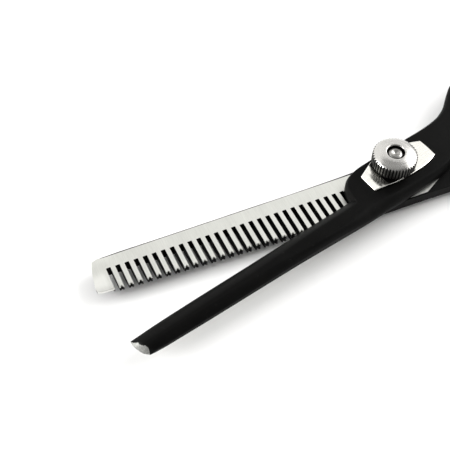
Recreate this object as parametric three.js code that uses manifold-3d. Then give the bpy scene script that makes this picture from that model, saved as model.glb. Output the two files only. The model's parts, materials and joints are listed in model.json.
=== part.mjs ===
// Thinning shears: a comb-toothed half and a straight-edged half that turn on one
// adjustable pivot, with finger rings, rubber ring inserts, a bumper and a finger rest.
//
// Millimetres, +Z up. The origin is on the pivot axis, in the plane that the shears
// rest on (the underside of the pivot screw's head). +X runs to the comb tip along the
// comb blade, +Y to the side that the teeth point to. The comb half is fixed; the
// straight half is turned REST_OPEN_DEG about +Z from the comb half.

import * as THREE from 'three';
import { mergeVertices } from 'three/addons/utils/BufferGeometryUtils.js';
import Module from 'manifold-3d';

const wasm = await Module();
wasm.setup();

// ---------------------------------------------------------------- driving dimensions
const REST_OPEN_DEG = 9.81;      // angle between the two half axes as drawn
const RIDE_Z = 3.60;             // inner (ride) face of the comb half
const RIDE_GAP = 0.05;           // running gap between the two ride faces
const UP_Z = RIDE_Z + RIDE_GAP;  // inner face of the straight half
const UP_TOP = 6.40;             // flat top of the straight half round the pivot

const SLOT_COUNT = 28;           // slots in the comb blade
const SLOT_PITCH = 1.853;
const SLOT_WIDTH = 0.92;
const SLOT_FIRST_X = 62.0;       // tip-side wall of the first slot
const SLOT_END_Y0 = -3.30;       // closed end of a slot at SLOT_FIRST_X ...
const SLOT_END_SLOPE = 0.0559;   // ... and how it moves to +Y per mm towards the pivot
const TIP_LINE_Y0 = 1.62;        // tooth tip line at SLOT_FIRST_X ...
const TIP_LINE_SLOPE = 0.083;    // ... and its slope towards the pivot
const NOTCH_DEPTH = 0.36;        // V in each tooth tip
const NOTCH_WIDTH = 0.52;

const HEAD_R = 4.40, HEAD_T = 0.85;          // pivot screw head
const NECK_SQ = 4.40, NECK_SQ_HOLE = 4.60;   // square neck and its hole
const SHANK_R = 2.30;                        // turning part of the screw
const THREAD_R = 1.46, SCREW_END_Z = 10.72;  // threaded end, seen in the nut's recess
const BUSH_ID_R = 2.38, BUSH_OD_R = 3.30, BUSH_FLANGE_R = 4.20, BUSH_FLANGE_T = 0.40;
const HALF_HOLE_R = 3.38;                    // bush hole in the straight half

const LEAF_T = 0.40, LEAF_HOLE_R = 2.45;     // leaf spring
const LEAF_END_Z = UP_TOP + 0.05, LEAF_MID_Z = UP_TOP + 0.27;
const NUTW_R = 4.10, NUTW_Z0 = 7.12, NUTW_Z1 = 7.35;    // washer under the nut
const NUT_R = 4.58, NUT_VALLEY_R = 4.35, NUT_RIDGES = 52;
const NUT_Z0 = 7.40, NUT_EDGE_Z = 10.14, NUT_RIM_Z = 10.95;
const NUT_BORE_R = 1.56, NUT_RECESS_R = 1.83, NUT_RECESS_Z = 9.60;

const RING_A = 15.5, RING_B = 13.0;          // ring centre line half axes, X and Y
const RING_W = 2.0, RING_H = 3.30;           // ring section half width and half height
const RING_Z = 3.30;
const COMB_RING = [-64.0, 17.5];             // ring centre, comb half
const STRAIGHT_RING = [-69.0, -18.0];        // ring centre, straight half (its own frame)
const RING_POWER = 2.15;                     // superellipse power of the ring plan

const INSERT_T = 1.25, INSERT_GAP = 0.10, INSERT_H = 2.75;   // rubber ring insert

const BUMPER_X = -65.0, BUMPER_R = 2.40, BUMPER_STEM_R = 1.15;
const BUMPER_BASE_Y = 2.85, BUMPER_END_Y = -0.90, BUMPER_STEM_Y = 4.60;

// ---------------------------------------------------------------- geometry helpers
// Closed surface through a row of sections, each a list of [x, y, z] with the same
// number of points. loop joins the last section to the first.
function loft(sections, loop = false) {
  const n = sections.length, m = sections[0].length;
  const pos = [];
  for (const s of sections) for (const p of s) pos.push(...p);
  const idx = [];
  const rows = loop ? n : n - 1;
  for (let i = 0; i < rows; i++) {
    const a = i * m, b = ((i + 1) % n) * m;
    for (let j = 0; j < m; j++) {
      const k = (j + 1) % m;
      idx.push(a + j, b + j, b + k, a + j, b + k, a + k);
    }
  }
  if (!loop) {
    for (const [row, flip] of [[0, false], [n - 1, true]]) {
      const c = pos.length / 3;
      const s = sections[row];
      pos.push(...[0, 1, 2].map(q => s.reduce((t, p) => t + p[q], 0) / m));
      for (let j = 0; j < m; j++) {
        const k = (j + 1) % m;
        if (flip) idx.push(c, row * m + k, row * m + j);
        else idx.push(c, row * m + j, row * m + k);
      }
    }
  }
  const g = new THREE.BufferGeometry();
  g.setAttribute('position', new THREE.Float32BufferAttribute(pos, 3));
  g.setIndex(idx);
  if (signedVolume(g) < 0) {
    for (let i = 0; i < idx.length; i += 3) [idx[i + 1], idx[i + 2]] = [idx[i + 2], idx[i + 1]];
    g.setIndex(idx);
  }
  return g;
}

function signedVolume(g) {
  const p = g.attributes.position, ix = g.index;
  let v = 0;
  for (let i = 0; i < ix.count; i += 3) {
    const [a, b, c] = [0, 1, 2].map(k => new THREE.Vector3().fromBufferAttribute(p, ix.getX(i + k)));
    v += a.dot(b.cross(c)) / 6;
  }
  return v;
}

function solid(geometry) {
  let g = geometry.clone();
  g.deleteAttribute('normal');
  g.deleteAttribute('uv');
  g = mergeVertices(g, 1e-5);
  return new wasm.Manifold(new wasm.Mesh({
    numProp: 3,
    vertProperties: new Float32Array(g.attributes.position.array),
    triVerts: new Uint32Array(g.index.array),
  }));
}

function surface(manifold) {
  const m = manifold.getMesh();
  const g = new THREE.BufferGeometry();
  g.setAttribute('position', new THREE.Float32BufferAttribute(Array.from(m.vertProperties), 3));
  g.setIndex(Array.from(m.triVerts));
  g.computeVertexNormals();
  return g;
}

// Solid of revolution about +Z from [r, z] pairs that start and end on the axis or close.
function turned(profile, segments = 40) {
  const g = new THREE.LatheGeometry(profile.map(([r, z]) => new THREE.Vector2(r, z)), segments);
  g.rotateX(Math.PI / 2);
  return g;
}

function box(x0, x1, y0, y1, z0, z1) {
  return new THREE.BoxGeometry(x1 - x0, y1 - y0, z1 - z0)
    .translate((x0 + x1) / 2, (y0 + y1) / 2, (z0 + z1) / 2);
}

function lerpTable(table, v) {          // table of [key, value], key falling or rising
  const t = [...table].sort((a, b) => a[0] - b[0]);
  if (v <= t[0][0]) return t[0][1];
  for (let i = 1; i < t.length; i++) {
    if (v <= t[i][0]) {
      const f = (v - t[i - 1][0]) / (t[i][0] - t[i - 1][0]);
      return t[i - 1][1] + f * (t[i][1] - t[i - 1][1]);
    }
  }
  return t[t.length - 1][1];
}

// One cross-section of a half at station x.
//   ya, yb  edges on the -Y and +Y side      zi, zo  inner (ride) face, outer face
//   ha, hb  height of each edge wall, from the inner face
//   la, lb  distance from each edge to the outer face's arris
//   c       chamfer where the inner face meets the edge walls
function section([x, ya, yb, zi, zo, ha, hb, la, lb, c], bend) {
  const s = Math.sign(zo - zi), t = Math.abs(zo - zi);
  const at = (y, h) => [x + (bend ? bend(x, y) : 0), y, zi + s * h];
  const ra = t - ha, rb = t - hb;
  return [
    at(ya + c, 0), at((ya + yb) / 2, 0), at(yb - c, 0),
    at(yb, c * 0.8), at(yb, hb), at(yb - lb * 0.42, hb + rb * 0.66), at(yb - lb, t),
    at(ya + la, t), at(ya + la * 0.42, ha + ra * 0.66), at(ya, ha), at(ya, c * 0.8),
  ];
}

// Finger ring plan: point and outward normal of the centre line at angle t.
function ringPoint([cx, cy], a, b, t) {
  const ct = Math.cos(t), st = Math.sin(t), q = 2 / RING_POWER;
  const x = a * Math.sign(ct) * Math.abs(ct) ** q, y = b * Math.sign(st) * Math.abs(st) ** q;
  const n = new THREE.Vector2(
    Math.sign(x) * Math.abs(x / a) ** (RING_POWER - 1) / a,
    Math.sign(y) * Math.abs(y / b) ** (RING_POWER - 1) / b).normalize();
  return { x: cx + x, y: cy + y, nx: n.x, ny: n.y };
}

function ringSweep(centre, a, b, profile, steps) {   // profile: [offset along normal, z]
  const secs = [];
  for (let i = 0; i < steps; i++) {
    const p = ringPoint(centre, a, b, 2 * Math.PI * (i + 0.5) / steps);
    secs.push(profile.map(([o, z]) => [p.x + p.nx * o, p.y + p.ny * o, z]));
  }
  return loft(secs, true);
}

function ellipseProfile(w, h, zc, n) {
  return Array.from({ length: n }, (_, i) => {
    const t = 2 * Math.PI * (i + 0.5) / n;
    return [w * Math.cos(t) / Math.cos(Math.PI / n), zc + h * Math.sin(t) / Math.cos(Math.PI / n)];
  });
}
const RING_SIDES = 12;
const ringProfile = ellipseProfile(RING_W, RING_H, RING_Z, RING_SIDES)
  .map(([o, z]) => [o, Math.min(Math.max(z, 0), 2 * RING_Z)]);

// ---------------------------------------------------------------- comb half
const combEndLine = [[-6.2, -1.45], [-5.2, -1.0], [-2.3, -0.30], [0.0, 0], [1.1, -0.08], [1.5, -0.2]];
const combBend = (x, y) => lerpTable(combEndLine, y) * THREE.MathUtils.clamp((x - 60) / 4.2, 0, 1);
const Z = RIDE_Z;
//  x,     ya,    yb,    zi,  zo,   ha,   hb,   la,   lb,   c
const combStations = [
  [65.3, -5.80, 1.05, Z, 2.40, 0.50, 0.42, 0.60, 1.20, 0.08],
  [64.4, -6.12, 1.36, Z, 1.35, 0.80, 0.45, 0.90, 3.00, 0.08],
  [62.6, -6.09, 1.54, Z, 1.10, 0.88, 0.50, 0.95, 3.60, 0.08],
  [62.15, -6.08, 1.60, Z, 1.04, 0.91, 1.00, 0.97, 4.40, 0.08],
  [61.0, -6.07, 1.70, Z, 0.96, 0.95, 1.30, 1.00, 4.90, 0.08],
  [50.0, -5.59, 2.62, Z, 0.92, 1.00, 1.45, 1.00, 5.20, 0.08],
  [40.0, -5.15, 3.45, Z, 0.92, 1.05, 1.75, 1.00, 5.20, 0.08],
  [30.0, -4.72, 4.28, Z, 0.92, 1.10, 1.95, 1.00, 5.20, 0.08],
  [21.0, -4.29, 5.02, Z, 0.92, 1.20, 2.05, 1.00, 5.20, 0.08],
  [14.0, -4.05, 5.60, Z, 0.92, 1.50, 1.95, 0.90, 5.00, 0.08],
  [11.0, -3.96, 5.88, Z, 0.92, 1.70, 1.85, 0.80, 4.00, 0.08],
  [8.00, -3.90, 6.50, Z, 0.92, 1.90, 1.60, 0.60, 1.60, 0.08],
  [5.00, -3.90, 7.05, Z, 0.92, 2.10, 2.15, 0.50, 0.60, 0.08],
  [1.50, -3.90, 7.22, Z, 0.90, 2.20, 2.20, 0.50, 0.50, 0.08],
  [-3.0, -3.85, 7.46, Z, 0.90, 2.20, 2.20, 0.50, 0.50, 0.10],
  [-7.0, -3.65, 7.70, Z, 0.90, 2.20, 2.20, 0.50, 0.50, 0.12],
  [-10.2, -3.20, 7.95, Z, 0.90, 2.15, 2.15, 0.55, 0.55, 0.15],
  [-13.0, -2.40, 8.20, Z, 0.90, 2.10, 2.10, 0.60, 0.60, 0.20],
  [-16.0, -1.15, 8.65, Z, 0.90, 2.05, 2.05, 0.70, 0.70, 0.25],
  [-19.0, 0.30, 9.45, Z, 0.90, 2.00, 2.00, 0.80, 0.80, 0.30],
  [-22.0, 1.50, 10.65, Z, 0.90, 1.95, 1.95, 0.90, 0.90, 0.40],
  [-25.0, 2.40, 11.85, Z, 0.88, 1.95, 1.95, 1.00, 1.00, 0.50],
  [-28.0, 3.10, 12.65, 4.2, 0.84, 2.20, 2.20, 1.20, 1.20, 0.80],
  [-32.0, 3.75, 13.25, 5.2, 0.76, 2.90, 2.90, 1.40, 1.40, 1.10],
  [-38.0, 4.15, 13.55, 5.8, 0.70, 3.30, 3.30, 1.50, 1.50, 1.40],
  [-42.5, 4.25, 13.70, 5.9, 0.66, 3.40, 3.40, 1.50, 1.50, 1.50],
  [-45.0, 4.28, 14.60, 5.9, 0.66, 3.40, 3.40, 1.50, 1.50, 1.50],
  [-47.0, 4.35, 16.30, 5.9, 0.68, 3.40, 3.40, 1.50, 1.50, 1.50],
  [-48.8, 4.45, 18.40, 5.8, 0.75, 3.30, 3.30, 1.50, 1.50, 1.40],
  [-50.3, 4.60, 15.60, 5.8, 0.80, 3.30, 3.30, 1.40, 1.40, 1.40],
  [-52.0, 4.85, 11.20, 5.7, 0.85, 3.20, 3.20, 1.40, 1.40, 1.40],
  [-54.5, 5.50, 8.80, 5.3, 1.20, 2.60, 2.60, 1.00, 1.00, 1.00],
];
let combBody = solid(loft(combStations.map(s => section(s, combBend))))
  .add(solid(ringSweep(COMB_RING, RING_A, RING_B, ringProfile, 40)));

for (let i = 0; i < SLOT_COUNT; i++) {
  const x1 = SLOT_FIRST_X - i * SLOT_PITCH, x0 = x1 - SLOT_WIDTH;
  const yEnd = SLOT_END_Y0 + SLOT_END_SLOPE * (SLOT_FIRST_X - x1);
  combBody = combBody.subtract(solid(box(x0, x1, yEnd, 9.0, -1, RIDE_Z + 1)));
  if (i === SLOT_COUNT - 1) break;
  const xc = x0 - (SLOT_PITCH - SLOT_WIDTH) / 2;
  const yTip = TIP_LINE_Y0 + TIP_LINE_SLOPE * (SLOT_FIRST_X - xc);
  const v = new THREE.Shape([
    new THREE.Vector2(xc, yTip - NOTCH_DEPTH),
    new THREE.Vector2(xc + NOTCH_WIDTH, yTip + NOTCH_DEPTH),
    new THREE.Vector2(xc - NOTCH_WIDTH, yTip + NOTCH_DEPTH)]);
  combBody = combBody.subtract(solid(
    new THREE.ExtrudeGeometry(v, { depth: 4, bevelEnabled: false }).translate(0, 0, 0.5)));
}
const sq = NECK_SQ_HOLE / 2;
combBody = combBody.subtract(solid(box(-sq, sq, -sq, sq, -1, RIDE_Z + 1)));

// bumper seat: a flat spot and a stem hole in the inner side of the ring
const alongY = (r, y0, y1, x, z, seg = 20) =>
  new THREE.CylinderGeometry(r, r, Math.abs(y1 - y0), seg).translate(x, (y0 + y1) / 2, z);
combBody = combBody
  .subtract(solid(alongY(BUMPER_R + 0.12, 0.0, BUMPER_BASE_Y, BUMPER_X, RING_Z)))
  .subtract(solid(alongY(BUMPER_STEM_R + 0.10, 1.0, BUMPER_STEM_Y + 0.15, BUMPER_X, RING_Z)));

// ---------------------------------------------------------------- straight half (own frame)
const tipLine = [[2.2, -0.15], [2.39, -0.1], [3.38, 0], [4.67, -0.3], [6.07, -0.9], [6.75, -1.7], [7.0, -1.9]];
const straightBend = (x, y) => lerpTable(tipLine, y) * THREE.MathUtils.clamp((x - 59) / 4.6, 0, 1);
const U = UP_Z, T = UP_TOP;
//  x,     ya,    yb,    zi, zo,  ha,   hb,   la,   lb,   c
const straightStations = [
  [64.9, 2.42, 6.74, U, 3.98, 0.10, 0.20, 1.60, 1.00, 0.04],
  [63.8, 2.36, 6.86, U, 5.40, 0.12, 0.80, 2.50, 1.40, 0.05],
  [60.0, 2.12, 6.96, U, 5.58, 0.12, 0.80, 2.80, 1.50, 0.05],
  [50.0, 1.77, 6.98, U, 5.80, 0.12, 0.90, 2.90, 1.60, 0.05],
  [40.0, 1.55, 6.92, U, 6.00, 0.12, 1.00, 2.90, 1.50, 0.05],
  [30.0, 1.30, 6.87, U, 6.20, 0.14, 1.15, 2.70, 1.15, 0.05],
  [21.6, 1.10, 6.98, U, 6.34, 0.16, 1.30, 2.50, 0.80, 0.05],
  [15.0, 1.02, 7.08, U, T, 0.20, 1.10, 2.40, 1.25, 0.06],
  [12.0, 0.90, 7.10, U, T, 0.30, 0.90, 2.20, 1.65, 0.06],
  [11.8, 0.10, 7.10, U, T, 0.80, 0.85, 2.00, 1.67, 0.06],
  [11.4, -1.15, 7.10, U, T, 1.40, 0.80, 1.40, 1.70, 0.08],
  [10.8, -2.10, 7.09, U, T, 1.80, 0.80, 0.90, 1.72, 0.08],
  [9.90, -2.85, 7.08, U, T, 2.00, 0.80, 0.60, 1.72, 0.10],
  [8.20, -3.50, 7.06, U, T, 2.15, 0.80, 0.45, 1.70, 0.10],
  [5.30, -3.95, 7.03, U, T, 2.25, 0.85, 0.40, 1.50, 0.10],
  [0.00, -4.12, 7.00, U, T, 2.25, 0.95, 0.40, 1.25, 0.10],
  [-5.0, -4.20, 6.84, U, T, 2.25, 1.05, 0.40, 0.98, 0.10],
  [-9.0, -4.30, 6.45, U, T, 2.20, 1.20, 0.45, 0.80, 0.12],
  [-11.6, -4.36, 5.85, U, T, 2.15, 1.35, 0.50, 0.75, 0.15],
  [-14.9, -4.66, 4.50, U, T, 2.10, 1.50, 0.60, 0.80, 0.20],
  [-17.3, -5.08, 3.15, U, T, 2.05, 1.60, 0.70, 0.80, 0.25],
  [-19.0, -5.69, 2.05, U, T, 2.00, 1.70, 0.75, 0.85, 0.30],
  [-20.6, -6.46, 1.05, U, T, 2.00, 1.75, 0.80, 0.90, 0.35],
  [-22.4, -7.66, 0.05, U, T, 2.00, 1.80, 0.90, 0.95, 0.40],
  [-24.4, -9.15, -0.95, U, T, 2.00, 1.85, 1.00, 1.00, 0.50],
  [-26.6, -10.52, -1.90, 3.40, T, 2.10, 2.00, 1.20, 1.20, 0.70],
  [-29.0, -11.45, -2.70, 2.70, T, 2.50, 2.50, 1.40, 1.40, 0.90],
  [-33.0, -12.25, -3.55, 1.70, 6.32, 2.90, 2.90, 1.50, 1.50, 1.20],
  [-38.0, -12.90, -4.15, 1.10, 6.15, 3.20, 3.20, 1.50, 1.50, 1.40],
  [-44.0, -13.40, -4.45, 0.80, 6.00, 3.30, 3.30, 1.50, 1.50, 1.50],
  [-47.5, -14.20, -4.52, 0.74, 5.95, 3.30, 3.30, 1.50, 1.50, 1.50],
  [-50.0, -15.20, -4.60, 0.70, 5.90, 3.40, 3.40, 1.50, 1.50, 1.50],
  [-52.0, -16.80, -4.70, 0.70, 5.90, 3.40, 3.40, 1.50, 1.50, 1.50],
  [-53.8, -18.90, -4.88, 0.75, 5.80, 3.30, 3.30, 1.50, 1.50, 1.40],
  [-55.3, -16.10, -5.05, 0.80, 5.80, 3.30, 3.30, 1.40, 1.40, 1.40],
  [-57.0, -11.70, -5.30, 0.85, 5.70, 3.20, 3.20, 1.40, 1.40, 1.40],
  [-59.5, -9.30, -6.00, 1.20, 5.30, 2.60, 2.60, 1.00, 1.00, 1.00],
];
let straightBody = solid(loft(straightStations.map(s => section(s, straightBend))))
  .add(solid(ringSweep(STRAIGHT_RING, RING_A, RING_B, ringProfile, 40)))
  .subtract(solid(turned([[0, 0], [HALF_HOLE_R, 0], [HALF_HOLE_R, 9], [0, 9]])))
  .subtract(solid(turned([[0, 2], [BUSH_FLANGE_R + 0.08, 2],
    [BUSH_FLANGE_R + 0.08, UP_Z + BUSH_FLANGE_T + 0.05], [0, UP_Z + BUSH_FLANGE_T + 0.05]])));

// finger rest seat on the rear, outer side of the ring
const REST_T = Math.PI * 200 / 180;
const seat = ringPoint(STRAIGHT_RING, RING_A, RING_B, REST_T);
const seatDir = new THREE.Vector3(seat.nx, seat.ny, 0);
const seatAt = d => new THREE.Vector3(seat.x, seat.y, RING_Z).addScaledVector(seatDir, d);
function alongSeat(r, d0, d1, seg = 20) {
  const g = new THREE.CylinderGeometry(r, r, d1 - d0, seg);
  g.applyQuaternion(new THREE.Quaternion().setFromUnitVectors(new THREE.Vector3(0, 1, 0), seatDir));
  const c = seatAt((d0 + d1) / 2);
  return g.translate(c.x, c.y, c.z);
}
const SEAT_D = RING_W - 0.55;    // flat spot, measured outward from the ring centre line
straightBody = straightBody
  .subtract(solid(alongSeat(2.75, SEAT_D, 4)))
  .subtract(solid(alongSeat(1.15, -0.9, 3)));

// ---------------------------------------------------------------- pivot hardware
const screwRound = solid(turned([
  [0, 0], [HEAD_R - 0.2, 0], [HEAD_R, 0.2], [HEAD_R, HEAD_T], [0, HEAD_T]], 44))
  .add(solid(turned([
    [0, 0.3], [SHANK_R, 0.3], [SHANK_R, 6.90], [THREAD_R, 6.90], [THREAD_R, SCREW_END_Z - 0.30],
    [THREAD_R - 0.20, SCREW_END_Z - 0.12], [0.9, SCREW_END_Z], [0.35, SCREW_END_Z - 0.03],
    [0, SCREW_END_Z - 0.16]], 32)));
const nq = NECK_SQ / 2;
const screwNeck = solid(box(-nq, nq, -nq, nq, 0.4, RIDE_Z - 0.25));
const pivotScrew = screwRound.add(screwNeck);

const bushing = solid(turned([
  [BUSH_ID_R, UP_Z], [BUSH_FLANGE_R, UP_Z], [BUSH_FLANGE_R, UP_Z + BUSH_FLANGE_T],
  [BUSH_OD_R, UP_Z + BUSH_FLANGE_T], [BUSH_OD_R, UP_TOP - 0.1], [BUSH_ID_R, UP_TOP - 0.1],
  [BUSH_ID_R, UP_Z]], 36));

// leaf spring: boat-shaped plate, both ends bent down to the half
const LEAF_OUTLINE = [
  [7.42, -1.35], [7.50, 0.6], [7.40, 3.00], [5.0, 3.40], [2.8, 3.84], [0.3, 4.06], [-2.3, 4.10],
  [-5.0, 3.98], [-7.3, 3.56], [-9.12, 2.88], [-9.22, 0.7], [-9.15, -1.62], [-6.8, -2.50],
  [-4.4, -3.10], [-1.8, -3.48], [0.8, -3.50], [3.2, -3.05], [5.3, -2.25]];
const LEAF_FOLD = [4.3, -6.1];
const leafLift = x => {
  const f = x > LEAF_FOLD[0] ? (7.5 - x) / (7.5 - LEAF_FOLD[0])
    : x < LEAF_FOLD[1] ? (x + 9.22) / (LEAF_FOLD[1] + 9.22) : 1;
  return LEAF_END_Z + (LEAF_MID_Z - LEAF_END_Z) * THREE.MathUtils.clamp(f, 0, 1);
};
const leafSpan = x => {           // edges of the outline at x
  const ys = [];
  for (let i = 0; i < LEAF_OUTLINE.length; i++) {
    const [x0, y0] = LEAF_OUTLINE[i], [x1, y1] = LEAF_OUTLINE[(i + 1) % LEAF_OUTLINE.length];
    if ((x0 - x) * (x1 - x) <= 0 && x0 !== x1) ys.push(y0 + (y1 - y0) * (x - x0) / (x1 - x0));
  }
  return [Math.min(...ys), Math.max(...ys)];
};
const leafXs = [7.39, 5.8, LEAF_FOLD[0], 2.8, 0.8, -1.0, -2.8, -4.6, LEAF_FOLD[1], -7.6, -9.09];
const leaf = solid(loft(leafXs.map(x => {
  const [a, b] = leafSpan(x), z = leafLift(x);
  return [[x, a, z], [x, b, z], [x, b, z + LEAF_T], [x, a, z + LEAF_T]];
}))).subtract(solid(turned([[0, 5], [LEAF_HOLE_R, 5], [LEAF_HOLE_R, 9], [0, 9]], 28)));

const nutWasher = turned([
  [1.60, NUTW_Z0], [NUTW_R, NUTW_Z0], [NUTW_R, NUTW_Z1], [1.60, NUTW_Z1], [1.60, NUTW_Z0]], 36);

// thumb nut: straight knurl, low dome, recess round the screw end
const knurl = new THREE.Shape();
for (let i = 0; i < NUT_RIDGES * 2; i++) {
  const a = Math.PI * i / NUT_RIDGES, r = i % 2 ? NUT_VALLEY_R : NUT_R;
  if (i) knurl.lineTo(r * Math.cos(a), r * Math.sin(a));
  else knurl.moveTo(r, 0);
}
knurl.closePath();
const nut = solid(new THREE.ExtrudeGeometry(knurl, { depth: 4, bevelEnabled: false })
  .translate(0, 0, NUT_Z0 - 0.1))
  .intersect(solid(turned([
    [0, NUT_Z0], [NUT_VALLEY_R, NUT_Z0], [NUT_R + 0.05, NUT_Z0 + 0.22],
    [NUT_R + 0.05, NUT_EDGE_Z - 0.22], [NUT_VALLEY_R - 0.03, NUT_EDGE_Z],
    [3.9, NUT_EDGE_Z + 0.30], [3.1, NUT_RIM_Z - 0.22], [2.3, NUT_RIM_Z - 0.03],
    [2.0, NUT_RIM_Z], [0, NUT_RIM_Z]], 48)))
  .subtract(solid(turned([
    [0, 6], [NUT_BORE_R, 6], [NUT_BORE_R, NUT_RECESS_Z], [NUT_RECESS_R, NUT_RECESS_Z + 0.1],
    [NUT_RECESS_R, 12], [0, 12]], 32)));

// ---------------------------------------------------------------- soft and small pieces
function insertRing(centre) {
  const o = -RING_W - INSERT_GAP, h = INSERT_H;
  const zc = RING_Z;
  const prof = [[o, zc - h * 0.62], [o, zc + h * 0.62], [o + 0.18, zc + h], [o - 0.55, zc + h],
    [o - INSERT_T, zc + h * 0.6], [o - INSERT_T, zc - h * 0.6], [o - 0.55, zc - h], [o + 0.18, zc - h]];
  return ringSweep(centre, RING_A, RING_B, prof, 40);
}

const bumper = solid(alongY(BUMPER_R, BUMPER_END_Y, BUMPER_BASE_Y - 0.08, BUMPER_X, RING_Z, 24))
  .add(solid(alongY(BUMPER_STEM_R, BUMPER_BASE_Y - 0.5, BUMPER_STEM_Y, BUMPER_X, RING_Z, 16)));

// finger rest: a screwed-in horn that curves back and outward
const restCurve = new THREE.CatmullRomCurve3([
  seatAt(SEAT_D + 0.08), seatAt(SEAT_D + 2.6),
  seatAt(SEAT_D + 6.4).add(new THREE.Vector3(-0.2, -0.9, 0)),
  seatAt(SEAT_D + 10.6).add(new THREE.Vector3(-0.6, -3.2, 0)),
  seatAt(SEAT_D + 14.6).add(new THREE.Vector3(-1.4, -6.0, 0)),
  seatAt(SEAT_D + 17.6).add(new THREE.Vector3(-3.2, -7.2, 0)),
]);
const REST_R = [[0, 2.55], [0.06, 2.55], [0.075, 1.75], [0.3, 1.7], [0.6, 2.0], [0.85, 2.15], [0.95, 1.75], [1, 0.7]];
const restSections = [0, 0.06, 0.075, 0.2, 0.35, 0.5, 0.65, 0.78, 0.87, 0.95, 0.985, 1].map(u => {
  const p = restCurve.getPointAt(u), d = restCurve.getTangentAt(u);
  const side = new THREE.Vector3(-d.y, d.x, 0).normalize(), r = lerpTable(REST_R, u);
  return Array.from({ length: 12 }, (_, i) => {
    const a = 2 * Math.PI * i / 12;
    return p.clone().addScaledVector(side, r * Math.cos(a))
      .add(new THREE.Vector3(0, 0, r * Math.sin(a))).toArray();
  });
});
const fingerRest = solid(loft(restSections)).add(solid(alongSeat(1.05, -0.75, SEAT_D + 1.0, 16)));

// ---------------------------------------------------------------- scene graph
const mat = (color, roughness, metalness) => new THREE.MeshStandardMaterial({ color, roughness, metalness });
const mesh = (name, geometry, material) => {
  const m = new THREE.Mesh(geometry, material);
  m.name = name;
  return m;
};
const black = () => mat(0x1a1a19, 0.42, 0.35);
const steel = () => mat(0xc9c8c2, 0.28, 0.95);
const rubber = () => mat(0x151515, 0.85, 0.0);

const shears = new THREE.Group();
const straightHalf = new THREE.Group();
straightHalf.rotation.z = THREE.MathUtils.degToRad(REST_OPEN_DEG);
shears.add(straightHalf);

shears.add(mesh('comb_blade_half', surface(combBody), mat(0xcfcec8, 0.36, 0.9)));
shears.add(mesh('pivot_screw', surface(pivotScrew), steel()));
shears.add(mesh('thumb_ring_insert', insertRing(COMB_RING), rubber()));
shears.add(mesh('bumper', surface(bumper), rubber()));
straightHalf.add(mesh('straight_blade_half', surface(straightBody), black()));
straightHalf.add(mesh('pivot_bushing', surface(bushing), mat(0xe8e6de, 0.5, 0)));
straightHalf.add(mesh('tension_leaf_spring', surface(leaf), steel()));
straightHalf.add(mesh('finger_ring_insert', insertRing(STRAIGHT_RING), rubber()));
straightHalf.add(mesh('finger_rest', surface(fingerRest), black()));
shears.add(mesh('nut_washer', nutWasher, mat(0x111111, 0.5, 0)));
shears.add(mesh('tension_nut', surface(nut), steel()));

export default shears;
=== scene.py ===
import json
import math
import bpy
import bmesh
import numpy as np
from mathutils import Matrix, Vector
from mathutils.geometry import delaunay_2d_cdt

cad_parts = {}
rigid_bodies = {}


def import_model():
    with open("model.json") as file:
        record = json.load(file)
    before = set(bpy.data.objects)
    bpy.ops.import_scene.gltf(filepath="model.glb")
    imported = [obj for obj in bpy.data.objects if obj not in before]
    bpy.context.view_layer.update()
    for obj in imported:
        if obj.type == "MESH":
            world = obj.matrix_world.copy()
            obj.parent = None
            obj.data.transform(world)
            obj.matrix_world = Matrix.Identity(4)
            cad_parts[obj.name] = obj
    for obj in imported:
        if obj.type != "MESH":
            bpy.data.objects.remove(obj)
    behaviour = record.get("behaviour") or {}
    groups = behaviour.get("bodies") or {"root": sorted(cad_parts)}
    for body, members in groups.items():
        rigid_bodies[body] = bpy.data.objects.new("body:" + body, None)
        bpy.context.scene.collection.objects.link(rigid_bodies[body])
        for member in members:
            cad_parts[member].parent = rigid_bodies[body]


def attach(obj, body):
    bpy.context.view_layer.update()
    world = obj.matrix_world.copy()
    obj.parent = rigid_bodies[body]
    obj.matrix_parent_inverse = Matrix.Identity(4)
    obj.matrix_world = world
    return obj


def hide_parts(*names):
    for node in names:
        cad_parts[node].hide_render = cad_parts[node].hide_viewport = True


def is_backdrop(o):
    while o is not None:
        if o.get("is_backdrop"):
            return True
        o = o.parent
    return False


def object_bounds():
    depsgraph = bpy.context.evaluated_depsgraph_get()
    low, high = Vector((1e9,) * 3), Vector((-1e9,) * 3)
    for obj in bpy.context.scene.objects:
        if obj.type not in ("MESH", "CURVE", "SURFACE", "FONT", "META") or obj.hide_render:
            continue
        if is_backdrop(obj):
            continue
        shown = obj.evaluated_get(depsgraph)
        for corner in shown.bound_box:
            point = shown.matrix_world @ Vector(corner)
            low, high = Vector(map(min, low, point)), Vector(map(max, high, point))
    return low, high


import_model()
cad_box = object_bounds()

# Everything is built in millimetres and scaled to metres at the end. The comb half is in
# the row frame; the straight half has a frame of its own, turned OPEN about +Z at rest.
OPEN = math.radians(9.81)
SCALE = 0.001
LINKS = bpy.context.scene.collection.objects

# ---------------------------------------------------------------- number helpers


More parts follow.
